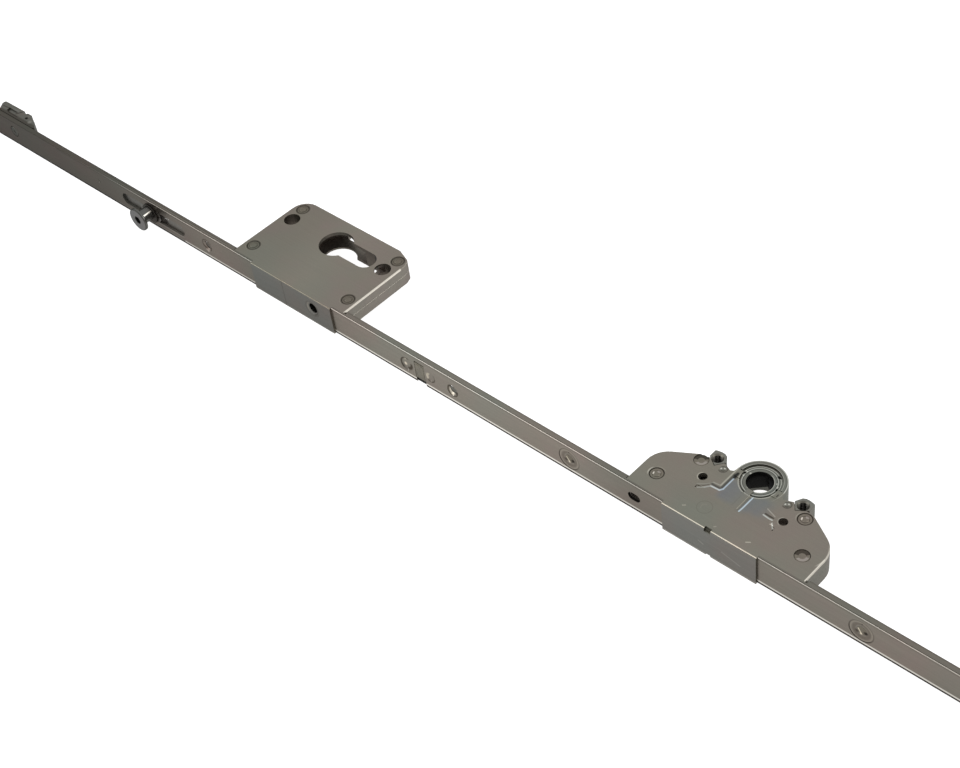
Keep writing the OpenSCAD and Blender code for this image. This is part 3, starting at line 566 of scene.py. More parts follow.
# Painted highlights and painted shade on the gear plate: light and dark lines along its pressed steps, rings of the
# hub and pins, crescents at its holes and rivets, short bright strokes, and bright lines along its right edge.
GEAR_PLATE_HIGHLIGHTS_AND_SHADE = (
    Stroke((-10.4, -3.0), (-10.4, -12.3), 0.6, (78, 78, 74), 0.85),
    Stroke((-11.4, 1.2), (-11.4, -11.2), 0.36, (172, 170, 158), 0.85),
    Stroke((-11.6, -11.4), (-14.7, -11.7), 0.3, (160, 160, 150), 0.75),
    Stroke((-14.7, -11.7), (-16.4, -14.0), 0.26, (150, 150, 140), 0.6),
    Stroke((-16.4, -14.2), (-19.6, -16.4), 0.26, (156, 156, 146), 0.6),
    Stroke((-9.6, -4.6), (-9.6, -12.0), 0.34, BLUISH, 0.95),
    Stroke((-9.7, -1.9), (-9.7, -4.2), 0.75, (40, 41, 40), 0.95),
    Stroke((-9.6, -12.0), (-10.5, -13.4), 0.4, BLUISH, 0.95),
    Stroke((-10.5, -13.4), (-14.6, -13.7), 0.4, (196, 202, 202), 0.95),
    Stroke((-11.2, -12.6), (-14.7, -12.7), 0.45, (76, 77, 74), 0.85),
    Stroke((-14.6, -13.7), (-16.2, -15.8), 0.3, (172, 174, 170), 0.75),
    Stroke((-15.6, -13.7), (-17.2, -15.8), 0.3, DARKER, 0.6),
    Stroke((-16.2, -15.8), (-18.4, -17.8), 0.3, (168, 170, 164), 0.7),
    Stroke((-17.0, -15.4), (-19.4, -17.2), 0.3, DARKER, 0.6),
    Stroke((11.2, -10.0), (16.0, -11.6), 0.24, (168, 166, 156), 0.75),
    Stroke((12.0, -12.5), (16.0, -12.7), 0.4, (74, 71, 64), 0.9),
    Stroke((11.5, -13.3), (16.2, -13.8), 0.32, (190, 193, 188), 0.95),
    Stroke((17.0, -15.0), (19.0, -17.4), 0.28, (184, 185, 178), 0.85),
    Stroke((1.35, -5.4), (1.35, -17.5), 0.16, (176, 172, 160), 0.8),
    Stroke((2.0, -7.6), (2.0, -17.8), 0.35, (104, 106, 104), 0.6),
    Stroke((2.8, -8.2), (2.8, -18.0), 0.34, (190, 206, 216), 0.95),
    Stroke((-1.5, -8.8), (-1.5, -17.0), 0.16, (104, 102, 94), 0.5),
    Arc((0.0, 0.0), 8.85, 0.24, (170, 170, 160), 0.9, -90.0, 84.0),
    Arc((0.0, 0.0), 11.45, 0.18, LIGHT, 0.6, 0.0, 25.0),
    *(Arc(pin, 1.85, 0.3, DARKER, 0.85, -20.0, 115.0) for pin in PINS),
    Stroke((10.2, -2.6), (10.2, -1.4), 0.3, DEEP, 0.8),
    Arc((-9.4, -24.6), 3.3, 0.2, (100, 98, 88), 0.35),
    Arc((-9.4, -24.6), 1.6, 0.2, (142, 138, 128), 0.35, 160.0, 80.0),
    Stroke((-17.2, -29.2), (-16.2, -28.4), 0.25, (176, 172, 158), 0.7),
    Stroke((-0.1, -30.6), (0.5, -30.0), 0.25, (170, 166, 154), 0.6),
    Stroke((14.8, -29.3), (16.2, -28.3), 0.28, (184, 180, 166), 0.8),
    Arc((-20.2, -11.8), 2.25, 0.24, (176, 172, 160), 0.75, 190.0, 75.0),
    Arc((20.2, -11.8), 2.25, 0.24, (160, 156, 146), 0.6, 190.0, 75.0),
    Arc((-36.4, -21.9), 3.75, 0.28, (186, 184, 172), 0.8, 185.0, 38.0),
    Arc((-36.4, -21.9), 3.8, 0.2, (150, 146, 134), 0.6, 87.0, 40.0),
    Arc((26.2, -5.4), 3.75, 0.24, (160, 156, 144), 0.6, 185.0, 38.0),
    Stroke((44.35, -31.0), (44.35, -18.0), 0.33, (230, 224, 212), 0.9),
    Arc((33.6, -18.0), 10.75, 0.33, (226, 220, 208), 0.9, 8.0, 30.0),
)
# Painted highlights and painted shade on the pins beside the hub.
PIN_GLINTS_AND_SHADE = tuple(
    mark
    for x, y in PINS
    for mark in (
        Arc((x, y), 1.2, 0.26, (66, 64, 58), 0.85, 105.0, 52.0),
        Arc((x, y), 1.25, 0.26, (72, 70, 62), 0.8, -55.0, 62.0),
        Arc((x - 0.6, y - 0.45), 0.0, 0.42, (206, 206, 196), 0.95),
        Arc((x + 0.6, y + 0.4), 0.0, 0.4, (206, 206, 196), 0.95),
    )
)
# Painted shade in the grooves of the hub's ring and painted highlights on its rims, with the pins' painted light and
# shade and a dark spot.
HUB_HIGHLIGHTS_AND_SHADE = (
    *PIN_GLINTS_AND_SHADE,
    Arc((0.0, 0.0), 9.25, 0.4, (82, 83, 78), 0.85, 90.0, 96.0),
    Arc((0.0, 0.0), 8.68, 0.16, (186, 187, 178), 0.9, 90.0, 96.0),
    Arc((0.0, 0.0), 9.8, 0.14, (170, 170, 162), 0.75, 90.0, 96.0),
    Arc((0.0, 0.0), 10.95, 0.2, (92, 93, 88), 0.7, 90.0, 100.0),
    Arc((0.0, 0.0), 11.42, 0.2, (206, 206, 198), 0.9, 90.0, 100.0),
    Arc((0.0, 0.0), 7.5, 0.22, (180, 182, 174), 0.8),
    Arc((0.0, 0.0), 8.05, 0.18, (78, 79, 74), 0.8),
    Arc((0.0, 0.0), 8.35, 0.22, (46, 46, 43), 0.9, -90.0, 84.0),
    Stroke((-8.8, -0.7), (-6.6, -1.3), 0.2, (200, 200, 190), 0.9),
    Stroke((-8.4, 1.9), (-6.8, 1.2), 0.2, (200, 200, 190), 0.9),
    Arc((7.4, 1.8), 0.0, 0.5, (190, 190, 180), 0.8),
    Arc((4.7, 7.0), 0.0, 0.95, (34, 34, 32), 0.95),
)
# Painted highlights and painted shade on the follower's lip.
LIP_HIGHLIGHTS_AND_SHADE = (
    Arc((0.0, 0.0), 6.0, 0.2, (176, 176, 166), 0.75, -20.0, 100.0),
    Arc((0.0, 0.0), 7.05, 0.16, (76, 76, 72), 0.75),
    Arc((-5.9, 1.6), 0.0, 0.45, (196, 196, 186), 0.85),
    Arc((6.3, 3.3), 0.0, 0.5, (186, 186, 176), 0.8),
)


class Finish(Enum):
    """The finishes of this lock."""

    RAIL = Metal(
        "zinc_rail", (129, 122, 113), (132, 121, 114), (125, 123, 114), Grain.ALONG, 0.34, 0.92, 0.05, 0.07,
        RAIL_FALLOFF, view=View.FRONT, marks=RAIL_HIGHLIGHTS_AND_SHADE,
    )
    # The rail's top and back: its zinc with its own painted falloff, lighter than the face's at the left end, and
    # painted lines.
    RAIL_TOP = Metal(
        "zinc_rail_side", (126, 121, 112), (129, 120, 113), (121, 122, 113), Grain.ALONG, 0.36, 0.92, 0.05, 0.07,
        TOP_FALLOFF, marks=SIDE_HIGHLIGHTS_AND_SHADE,
    )
    # The front of the plates' flanges: their zinc painted darker, as the front gets less light: painted shade.
    FLANGE = Metal(
        "folded_flange", (108, 105, 100), (111, 105, 100), (105, 106, 102), Grain.ALONG, 0.36, 0.92, 0.05, 0.06,
        ((-290, 0.84), (-223, 0.84), (-25, 1.05), (23, 0.98)), view=View.FRONT, marks=FLANGE_LIGHT_SHADE_AND_SEAM,
    )
    PLATE = Metal(
        "zinc_plate", (127, 122, 112), (130, 121, 114), (123, 123, 113), Grain.ALONG, 0.36, 0.92, 0.03, 0.05,
        ((-294, 0.9), (-276, 0.93), (-252, 1.04), (-230, 1.0), (-215, 0.98)), marks=LOCK_HIGHLIGHTS_AND_SHADE,
    )
    GEAR_PLATE = Metal(
        "pressed_plate", (127, 123, 113), (129, 121, 113), (121, 123, 113), Grain.ALONG, 0.36, 0.92, 0.03, 0.05,
        blue_bands=(
            (-8.3, 1.9, -16.5, -5.0), (3.9, 1.7, -17.5, -8.0), (-5.0, 4.0, -17.0, -6.0), (8.0, 4.0, -16.0, -6.0),
        ),
        marks=GEAR_PLATE_HIGHLIGHTS_AND_SHADE,
    )
    CASTING = Metal(
        "zinc_casting", (122, 118, 110), (127, 119, 113), (115, 119, 111),
        Grain.CAST, 0.42, 0.85, 0.05, 0.16,
    )
    HUB = Metal(
        "cast_hub", (118, 116, 108), (121, 117, 110), (113, 117, 109),
        Grain.CAST, 0.36, 0.9, 0.05, 0.1, marks=HUB_HIGHLIGHTS_AND_SHADE,
    )
    # The walls of the cam's slot and the clip's window, painted lighter and less metallic than the rail's zinc:
    # painted light.
    SLOT_WALL = Metal(
        "slot_wall", (140, 136, 127), (144, 136, 128), (134, 137, 129),
        Grain.CAST, 0.5, 0.25, 0.05, 0.06, RAIL_FALLOFF,
    )
    UNDER = Metal(
        "shaded_edge", (58, 56, 52), (61, 56, 53), (54, 57, 54),
        Grain.ALONG, 0.6, 0.0, 0.05, 0.04, gloss=0.0,
    )
    # Strips of the nuts' holes painted as lit, and one painted as shaded: painted highlight and painted shade.
    THREAD = Metal("thread_flank", (150, 148, 140), (154, 148, 141), (144, 149, 142), Grain.CAST, 0.5, 0.2, 0.06, 0.1)
    THREAD_DIM = Metal("thread_shade", (96, 94, 88), (99, 94, 89), (92, 95, 90), Grain.CAST, 0.5, 0.2, 0.06, 0.1)
    # Painted highlights: on the lock castings' edges by the seam, on the rivet domes and along the cam's stem.
    RUBBED = Metal(
        "painted_glint", (216, 211, 199), (220, 211, 200), (210, 213, 204),
        Grain.CAST, 0.26, 0.95, 0.04, 0.04,
    )
    # Painted highlight on the rounding at the right end of each plate.
    EDGE_GLINT = Metal(
        "edge_glint", (214, 208, 196), (218, 208, 197), (208, 209, 199),
        Grain.ALONG, 0.3, 0.3, 0.06, 0.04,
    )
    # Weaker painted highlights: on the gear castings' lower edges and on the rivet heads.
    DULL_RUB = Metal(
        "painted_dim_glint", (150, 145, 137), (154, 145, 139), (143, 147, 141),
        Grain.CAST, 0.3, 0.93, 0.04, 0.04,
    )
    # Painted highlight along the rail's top front rounding, fading out to the left with its falloff.
    EDGE_LINE = Metal(
        "edge_line", (174, 167, 158), (178, 167, 159), (169, 168, 160),
        Grain.ALONG, 0.3, 0.93, 0.05, 0.04, LINE_FALLOFF,
    )
    # The fold of the lock plate's flange, painted a little darker than the plate: painted shade.
    FOLD_LINE = Metal(
        "fold_line", (118, 111, 99), (121, 111, 100), (114, 112, 101),
        Grain.ALONG, 0.32, 0.93, 0.05, 0.04,
    )
    # Painted highlight along the fold of the gear plate's flange.
    BRIGHT_FOLD = Metal(
        "bright_fold", (226, 215, 196), (230, 215, 198), (220, 216, 199),
        Grain.ALONG, 0.28, 0.94, 0.05, 0.04,
    )
    PRESSED = Metal(
        "dark_rivet_disc", (108, 103, 92), (111, 103, 94), (103, 105, 96),
        Grain.TURNED, 0.36, 0.92, 0.05, 0.08, marks=LOCK_HIGHLIGHTS_AND_SHADE,
    )
    WASHER = Metal("cam_washer", (62, 60, 55), (65, 60, 56), (58, 60, 57), Grain.TURNED, 0.4, 0.9, 0.05, 0.07)
    # Painted shade on rounded edges, chamfers and small walls that face away from the light.
    OUTLINE = Metal("shaded_outline", (96, 94, 86), (99, 93, 86), (91, 94, 88), Grain.CAST, 0.36, 0.9, 0.05, 0.05)
    # Painted shade on the walls of the openings in the lock case.
    WALL = Metal("shaded_opening_wall", (92, 88, 80), (96, 88, 81), (87, 89, 82), Grain.CAST, 0.42, 0.85, 0.08, 0.1)
    STUD = Metal(
        "guide_stud", (106, 99, 88), (110, 99, 89), (101, 100, 90),
        Grain.TURNED, 0.34, 0.92, 0.05, 0.06, view=View.FRONT, marks=STUD_GLINTS_AND_SHADE,
    )
    CAM = Metal("cam_steel", (98, 97, 93), (102, 97, 93), (93, 97, 95), Grain.TURNED, 0.3, 0.93, 0.06, 0.07)
    # Painted shade on the rounded edge of the cam's head.
    CAM_EDGE = Metal("cam_edge", (72, 71, 68), (75, 71, 68), (68, 71, 69), Grain.TURNED, 0.32, 0.93, 0.05, 0.05)
    CAM_FACE = Metal(
        "cam_face", (106, 104, 103), (109, 104, 103), (102, 104, 104),
        Grain.TURNED, 0.34, 0.93, 0.06, 0.08,
    )
    # Painted shade in grooves and dishes and on edges turned from the light.
    SHADE = Metal("shaded_groove", (70, 67, 59), (74, 67, 60), (64, 67, 61), Grain.CAST, 0.46, 0.85, 0.05, 0.08)
    RIVET = Metal(
        "rivet_disc", (116, 111, 100), (119, 111, 102), (111, 113, 104),
        Grain.TURNED, 0.34, 0.92, 0.05, 0.08,
    )
    LIP = Metal(
        "follower_lip", (112, 111, 103), (115, 111, 105), (107, 112, 106),
        Grain.TURNED, 0.32, 0.93, 0.05, 0.06, marks=LIP_HIGHLIGHTS_AND_SHADE,
    )
    NUT = Metal("nut_steel", (118, 118, 111), (121, 117, 110), (113, 118, 113), Grain.CAST, 0.34, 0.93, 0.06, 0.1)
    # Painted shade in holes: the rail's holes, the rod's hole, the nuts' holes and the round end of the lock's
    # opening.
    BORE = Metal("shaded_bore", (52, 51, 48), (56, 52, 48), (48, 51, 49), Grain.CAST, 0.42, 0.85, 0.06, 0.1)
    ROD = Metal(
        "drawn_rod", (124, 120, 112), (129, 120, 113), (118, 121, 115),
        Grain.ALONG, 0.32, 0.6, 0.07, 0.06, RAIL_FALLOFF, view=View.FRONT, marks=BASE_HOLE_SHADE_AND_GLINT,
    )
    TURNED = Metal(
        "turned_steel", (136, 132, 125), (141, 131, 126), (128, 133, 129),
        Grain.TURNED, 0.26, 0.95, 0.05, 0.05,
    )
    # The end block's screw, darker like the rail's left end where less light falls: painted shade.
    DARK = Metal("shaded_end_screw", (68, 68, 64), (71, 68, 64), (64, 67, 65), Grain.TURNED, 0.42, 0.92, 0.05, 0.08)
    # Painted shade in the cam's hexagon, the follower's socket and under the clip.
    SOCKET = Metal("shaded_recess", (30, 29, 28), (34, 31, 29), (26, 28, 28), Grain.TURNED, 0.55, 0.7, 0.06, 0.1)
    # The end block: darker than the other castings, as at the rail's left end where less light falls, with painted
    # light and shade of its facets.
    END = Metal(
        "shaded_end_casting", (102, 101, 95), (105, 101, 95), (97, 101, 96),
        Grain.CAST, 0.46, 0.85, 0.06, 0.2, marks=BLOCK_FACET_SHADING,
    )
    BRASS = Metal(
        "bearing_brass", (176, 150, 96), (182, 150, 92), (166, 150, 104),
        Grain.TURNED, 0.3, 0.95, 0.05, 0.06,
    )
    CLIP = Moulded("moulded_clip", (126, 120, 105), 0.6)
    FLOOR = Backdrop("studio_floor")

    def material(self) -> bpy.types.Material:
        """Returns this finish as a material, made once."""
        return bpy.data.materials.get(self.value.name) or self.value.make()


def bare() -> None:
    """Leaves edit mode and deselects everything."""
    if bpy.context.object and bpy.context.object.mode != "OBJECT":
        bpy.ops.object.mode_set(mode="OBJECT")
    for obj in bpy.context.view_layer.objects:
        obj.select_set(False)


def only(obj: Piece) -> None:
    """Makes one object the active and only selected one.

    Args:
        obj: the object.
    """
    bare()
    obj.select_set(True)
    bpy.context.view_layer.objects.active = obj


@contextmanager
def shaping(obj: Piece, kind: str = "FACE") -> Iterator[bmesh.types.BMesh]:
    """Opens an object in edit mode with nothing selected.

    Args:
        obj: the object to shape.
        kind: VERT, EDGE or FACE, what is selected.

    Yields:
        The mesh in edit mode, for picking by place or normal.
    """
    only(obj)
    bpy.ops.object.mode_set(mode="EDIT")
    bpy.ops.mesh.select_mode(type=kind)
    bpy.ops.mesh.select_all(action="DESELECT")
    yield bmesh.from_edit_mesh(obj.data)
    bpy.ops.object.mode_set(mode="OBJECT")


def pick(obj: Piece, mesh: bmesh.types.BMesh, parts: Iterable, test: Callable[[object], bool]) -> bool:
    """Selects the parts of a mesh that pass a test.

    Args:
        obj: the object in edit mode.
        mesh: its mesh.
        parts: its verts, edges or faces.
        test: what says yes or no.

    Returns:
        Whether any part passed.
    """
    found = [part for part in parts if test(part)]
    for part in found:
        part.select_set(True)
    mesh.select_flush_mode()
    bmesh.update_edit_mesh(obj.data)
    return bool(found)


def shift(obj: Piece, move: Triple, test: Callable[[bmesh.types.BMVert], bool]) -> None:
    """Moves the corners of a piece that pass a test.

    Args:
        obj: the piece.
        move: how far, in millimetres.
        test: which corners.
    """
    with shaping(obj, "VERT") as mesh:
        pick(obj, mesh, mesh.verts, test)
        bpy.ops.transform.translate(value=[way * MM for way in move])


def centre_of(part: Face | Edge) -> Vector:
    """Finds the middle of an edge or face.

    Args:
        part: the edge or face.

    Returns:
        Its middle in millimetres.
    """
    if isinstance(part, Face):
        return part.calc_center_median() / MM
    return (part.verts[0].co + part.verts[1].co) / 2 / MM


def out_of(part: Face | Edge) -> float:
    """How far the middle of an edge or face lies from the spindle's axis in millimetres."""
    return centre_of(part).xy.length


def lean_of(face: Face) -> float:
    """How far a face of a long front edge leans up (plus) or down (minus) from the front, in degrees."""
    flat = abs(face.normal.x) < 0.02 and face.normal.y < -0.02
    return math.degrees(math.atan2(face.normal.z, -face.normal.y)) if flat else 0.0


def bend_of(edge: Edge) -> float:
    """The angle between an edge's two faces in degrees."""
    return math.degrees(edge.calc_face_angle(0.0))


def sharp(edge: Edge) -> bool:
    """Says whether an edge is one between two faces nearly square to each other."""
    return bend_of(edge) > 60


def upright(face: Face) -> bool:
    """Says whether a face is a wall that stands on the plates."""
    return abs(face.normal.z) < 0.5


def on_top(edge: Edge) -> bool:
    """Says whether an edge lies at the level of the plates' top."""
    return min(v.co.z for v in edge.verts) > (TOP - 0.05) * MM


def top_edge(edge: Edge) -> bool:
    """Says whether an edge is a sharp edge of a plate's top, behind the rail."""
    return bend_of(edge) > 50 and on_top(edge) and centre_of(edge).y > FACE + 2


def points(at: Vector, way: float, spread: float) -> bool:
    """Says whether a place, seen from an axis, lies within a spread of a direction, both in degrees."""
    return abs((math.degrees(math.atan2(at.y, at.x)) - way + 180.0) % 360.0 - 180.0) < spread


def flange_of(face: Face) -> bool:
    """Says whether a face is the front of a plate's flange."""
    return centre_of(face).y < FACE + 0.1 and face.normal.y < -0.5


def fold_of(face: Face) -> bool:
    """Says whether a face is part of the fold of a plate's flange."""
    return centre_of(face).y < FACE and 35 < lean_of(face) < 70


def in_dish(at: Vector, rivets: Iterable[Pair]) -> bool:
    """Says whether a place lies in the dish of one of a plate's rivets."""
    return any(math.hypot(at.x - x, at.y - y) < DISH for x, y in rivets)


def copy_of(node: str, name: str, finish: Finish) -> Piece:
    """Makes a merged copy of a solid of the frame, with its flat faces joined.

    Args:
        node: the name of the solid.
        name: the name of the new piece.
        finish: what it is made of.

    Returns:
        The new piece, not yet on a body.
    """
    mesh = frame["nodes"][node].data.copy()
    mesh.name = name
    obj = bpy.data.objects.new(name, mesh)
    bpy.context.scene.collection.objects.link(obj)
    mesh.materials.clear()
    mesh.materials.append(finish.material())
    if mesh.has_custom_normals:
        only(obj)
        bpy.ops.mesh.customdata_custom_splitnormals_clear()
    with shaping(obj, "VERT"):
        bpy.ops.mesh.select_all(action="SELECT")
        bpy.ops.mesh.remove_doubles(threshold=0.000002)
        bpy.ops.mesh.dissolve_limited(angle_limit=math.radians(0.6))
    for face in mesh.polygons:
        face.material_index = 0
    return obj


def number_of(obj: Piece, finish: Finish) -> int:
    """Gives the number of a finish on a piece, where it is added if it is new.

    Args:
        obj: the piece.
        finish: the finish.

    Returns:
        Its number.
    """
    made = finish.material()
    if obj.data.materials.find(made.name) < 0:
        obj.data.materials.append(made)
    return obj.data.materials.find(made.name)


def soften(obj: Piece, width: float, test: Callable[[Edge], bool], finish: Finish | None = None) -> None:
    """Rounds the edges that pass a test, and gives the rounding its own finish.

    Args:
        obj: the piece.
        width: the width of the rounding in millimetres.
        test: which edges.
        finish: the finish of the rounding, if it isn't the piece's own.
    """
    number = number_of(obj, finish) if finish else 0
    with shaping(obj, "EDGE") as mesh:
        found = pick(obj, mesh, mesh.edges, test)
        if found:
            bpy.ops.mesh.bevel(
                offset=width * MM, segments=2, affect="EDGES", clamp_overlap=True, material=number, loop_slide=False
            )
    if not found:
        LOG.warning("no edge to soften on %s", obj.name)


def repaint(obj: Piece, finish: Finish, test: Callable[[Face], bool]) -> None:
    """Gives the faces that pass a test another finish.

    Args:
        obj: the piece.
        finish: the finish.
        test: which faces.
    """
    number = number_of(obj, finish)
    with shaping(obj, "FACE") as mesh:
        pick(obj, mesh, mesh.faces, test)
        obj.active_material_index = number
        bpy.ops.object.material_slot_assign()


def softened(node: str, name: str, finish: Finish, width: float, rim: Finish | None = None) -> Piece:
    """Makes a copy of a solid with all its sharp edges softened.

    Args:
        node: the name of the solid.
        name: the name of the new piece.
        finish: what it is made of.
        width: the width of the rounding in millimetres.
        rim: the finish of the rounding, if it has its own.

    Returns:
        The new piece, not yet on a body.
    """
    obj = copy_of(node, name, finish)
    soften(obj, width, sharp, rim)
    return obj


def settle(obj: Piece, body: Body, slot: Slot, *nodes: str, angle: float = 28.0) -> Piece:
    """Puts a finished piece on its body in place of the solids it stands for.

    Large flat faces keep their own normals beside rounded edges.

    Args:
        obj: the finished piece.
        body: what it moves with.
        slot: the material slot of the record; not used.
        *nodes: the solids it stands for.
        angle: up to which angle in degrees it is shaded smooth.

    Returns:
        The piece.
    """
    only(obj)
    bpy.ops.object.shade_smooth_by_angle(angle=math.radians(angle))
    modifier = obj.modifiers.new("even", "WEIGHTED_NORMAL")
    modifier.keep_sharp = True
    bpy.ops.object.modifier_apply(modifier=modifier.name)
    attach(obj, body.value)
    if nodes:
        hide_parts(*nodes)
    LOG.info("%s: %d faces on %s", obj.name, len(obj.data.polygons), body.value)
    return obj


def applied(obj: Piece) -> Piece:
    """Puts an object's place and turn into its mesh.

    Args:
        obj: the object.

    Returns:
        The object.
    """
    only(obj)
    bpy.ops.object.transform_apply(location=True, rotation=True, scale=True)
    return obj


def joined(parts: list[Piece], name: str) -> Piece:
    """Joins pieces into one.

    Args:
        parts: the pieces.
        name: the name of the result.

    Returns:
        The joined piece.
    """
    bare()
    for part in parts:
        part.select_set(True)
    made = bpy.context.view_layer.objects.active = parts[0]
    bpy.ops.object.join()
    made.name = made.data.name = name
    return made


def copies(master: Piece, places: Iterable[Pair], name: str) -> Piece:
    """Copies a piece that was modelled once to its places, and joins the copies.

    Args:
        master: the piece, modelled round the Z axis. It is used up.
        places: the X and Y of each copy in millimetres.
        name: the name of the result.

    Returns:
        The joined piece.
    """
    made = []
    for x, y in places:
        twin = master.copy()
        twin.data = master.data.copy()
        twin.data.transform(Matrix.Translation(Vector((x, y, 0)) * MM))
        bpy.context.scene.collection.objects.link(twin)
        made.append(twin)
    bpy.data.objects.remove(master, do_unlink=True)
    return joined(made, name)


def disc(radius: float, low: float, high: float, name: str, finish: Finish) -> Piece:
    """Starts a turned piece: a cylinder whose ends are then inset and raised.

    Args:
        radius: its radius in millimetres.
        low: its lower level in millimetres.
        high: its upper level in millimetres.
        name: its name.
        finish: what it is made of.

    Returns:
        The blank, round the Z axis.
    """
    bare()
    bpy.ops.mesh.primitive_cylinder_add(
        vertices=48, radius=radius * MM, depth=(high - low) * MM, location=(0, 0, (low + high) / 2 * MM)
    )
    made = applied(bpy.context.object)
    made.name = name
    made.data.materials.append(finish.material())
    return made


def terrace(obj: Piece, steps: Iterable[Pair]) -> None:
    """Shapes the top of a turned piece by insets, each raised or lowered.

    Args:
        obj: the piece, whose highest flat face is shaped.
        steps: pairs of inset and rise in millimetres.
    """
    with shaping(obj, "FACE") as mesh:
        high = max(face.calc_center_median().z for face in mesh.faces if face.normal.z > 0.9)
        pick(obj, mesh, mesh.faces, lambda f: f.normal.z > 0.9 and f.calc_center_median().z > high - 1e-6)
        for inset, rise in steps:
            bpy.ops.mesh.inset(thickness=inset * MM, depth=0.0)
            bpy.ops.transform.translate(value=(0, 0, rise * MM))


# Insets and rises from the rim of a rivet's head to its middle.
DOME = ((0.3, 0.12), (0.85, 0.02), (0.12, -0.05), (0.1, 0.1), (0.3, 0.2), (0.4, 0.1), (0.5, 0.02))
DIMPLE = ((0.3, 0.12), (0.7, -0.1), (0.6, -0.14), (0.6, -0.04))


@dataclass
class RivetHead:
    """A rivet set in a dish of a plate: a groove in painted shade, a flat ring and a low dome, or a pressed dimple."""

    low: float
    head: float = 3.1
    shank: float = 1.6
    glint: bool = True
    skin: Finish = Finish.RIVET
    dimple: bool = False

    def button(self, name: str) -> Piece:
        """Shapes the head of the rivet.

        Args:
            name: the name of the piece.

        Returns:
            The head, round the Z axis.
        """
        rivet = disc(self.head, TOP - 0.5, TOP - 0.22, name, self.skin)
        if self.dimple:
            terrace(rivet, DIMPLE)
            # Painted shade on the dimple's upper side and a weaker painted highlight on its lower side.
            self.tint(rivet, Finish.SHADE, (0.0, 9.0), 125.0, 80.0, 0.995)
            self.tint(rivet, Finish.DULL_RUB, (0.0, 2.6), -50.0, 65.0, 0.995)
            return rivet
        terrace(rivet, DOME)
        # Painted shade in the groove and round the dome, and painted highlights on the dome.
        self.tint(rivet, Finish.SHADE, (2.6, 9.0), steepest=0.97)
        self.tint(rivet, Finish.SHADE, (1.6, 2.0), -50.0, 100.0, 0.99)
        if self.glint:
            self.tint(rivet, Finish.RUBBED, (0.9, 1.6), 205.0, 26.0)
            self.tint(rivet, Finish.DULL_RUB, (0.5, 1.6), 70.0, 34.0)
        return rivet

    def tint(
        self, rivet: Piece, finish: Finish, ring: Pair, way: float = 0.0, spread: float = 181.0, steepest: float = 2.0
    ) -> None:
        """Gives a part of a ring of the head another finish.

        Args:
            rivet: the head, round the Z axis.
            finish: the finish.
            ring: the inner and outer radius in millimetres.
            way: the direction of the part in degrees.
            spread: how far it goes to each side in degrees.
            steepest: the upward share of the normal that its faces stay under.
        """
        repaint(
            rivet, finish,
            lambda f: f.normal.z < steepest and ring[0] <= out_of(f) < ring[1] and points(centre_of(f), way, spread),
        )

    def make(self, places: Iterable[Pair], name: str) -> Piece:
        """Builds one rivet and copies it to its places.

        Args:
            places: the X and Y of each rivet in millimetres.
            name: the name of the piece.

        Returns:
            The rivets as one piece.
        """
        rivet = self.button(name)
        stem = disc(self.shank, self.low, TOP - 0.45, name + "_stem", Finish.PLATE)
        foot = disc(self.shank + 1.0, self.low - 0.5, self.low, name + "_foot", Finish.PLATE)
        for part in (stem, foot):
            soften(part, 0.15, sharp)
        return copies(joined([rivet, stem, foot], name), places, name)


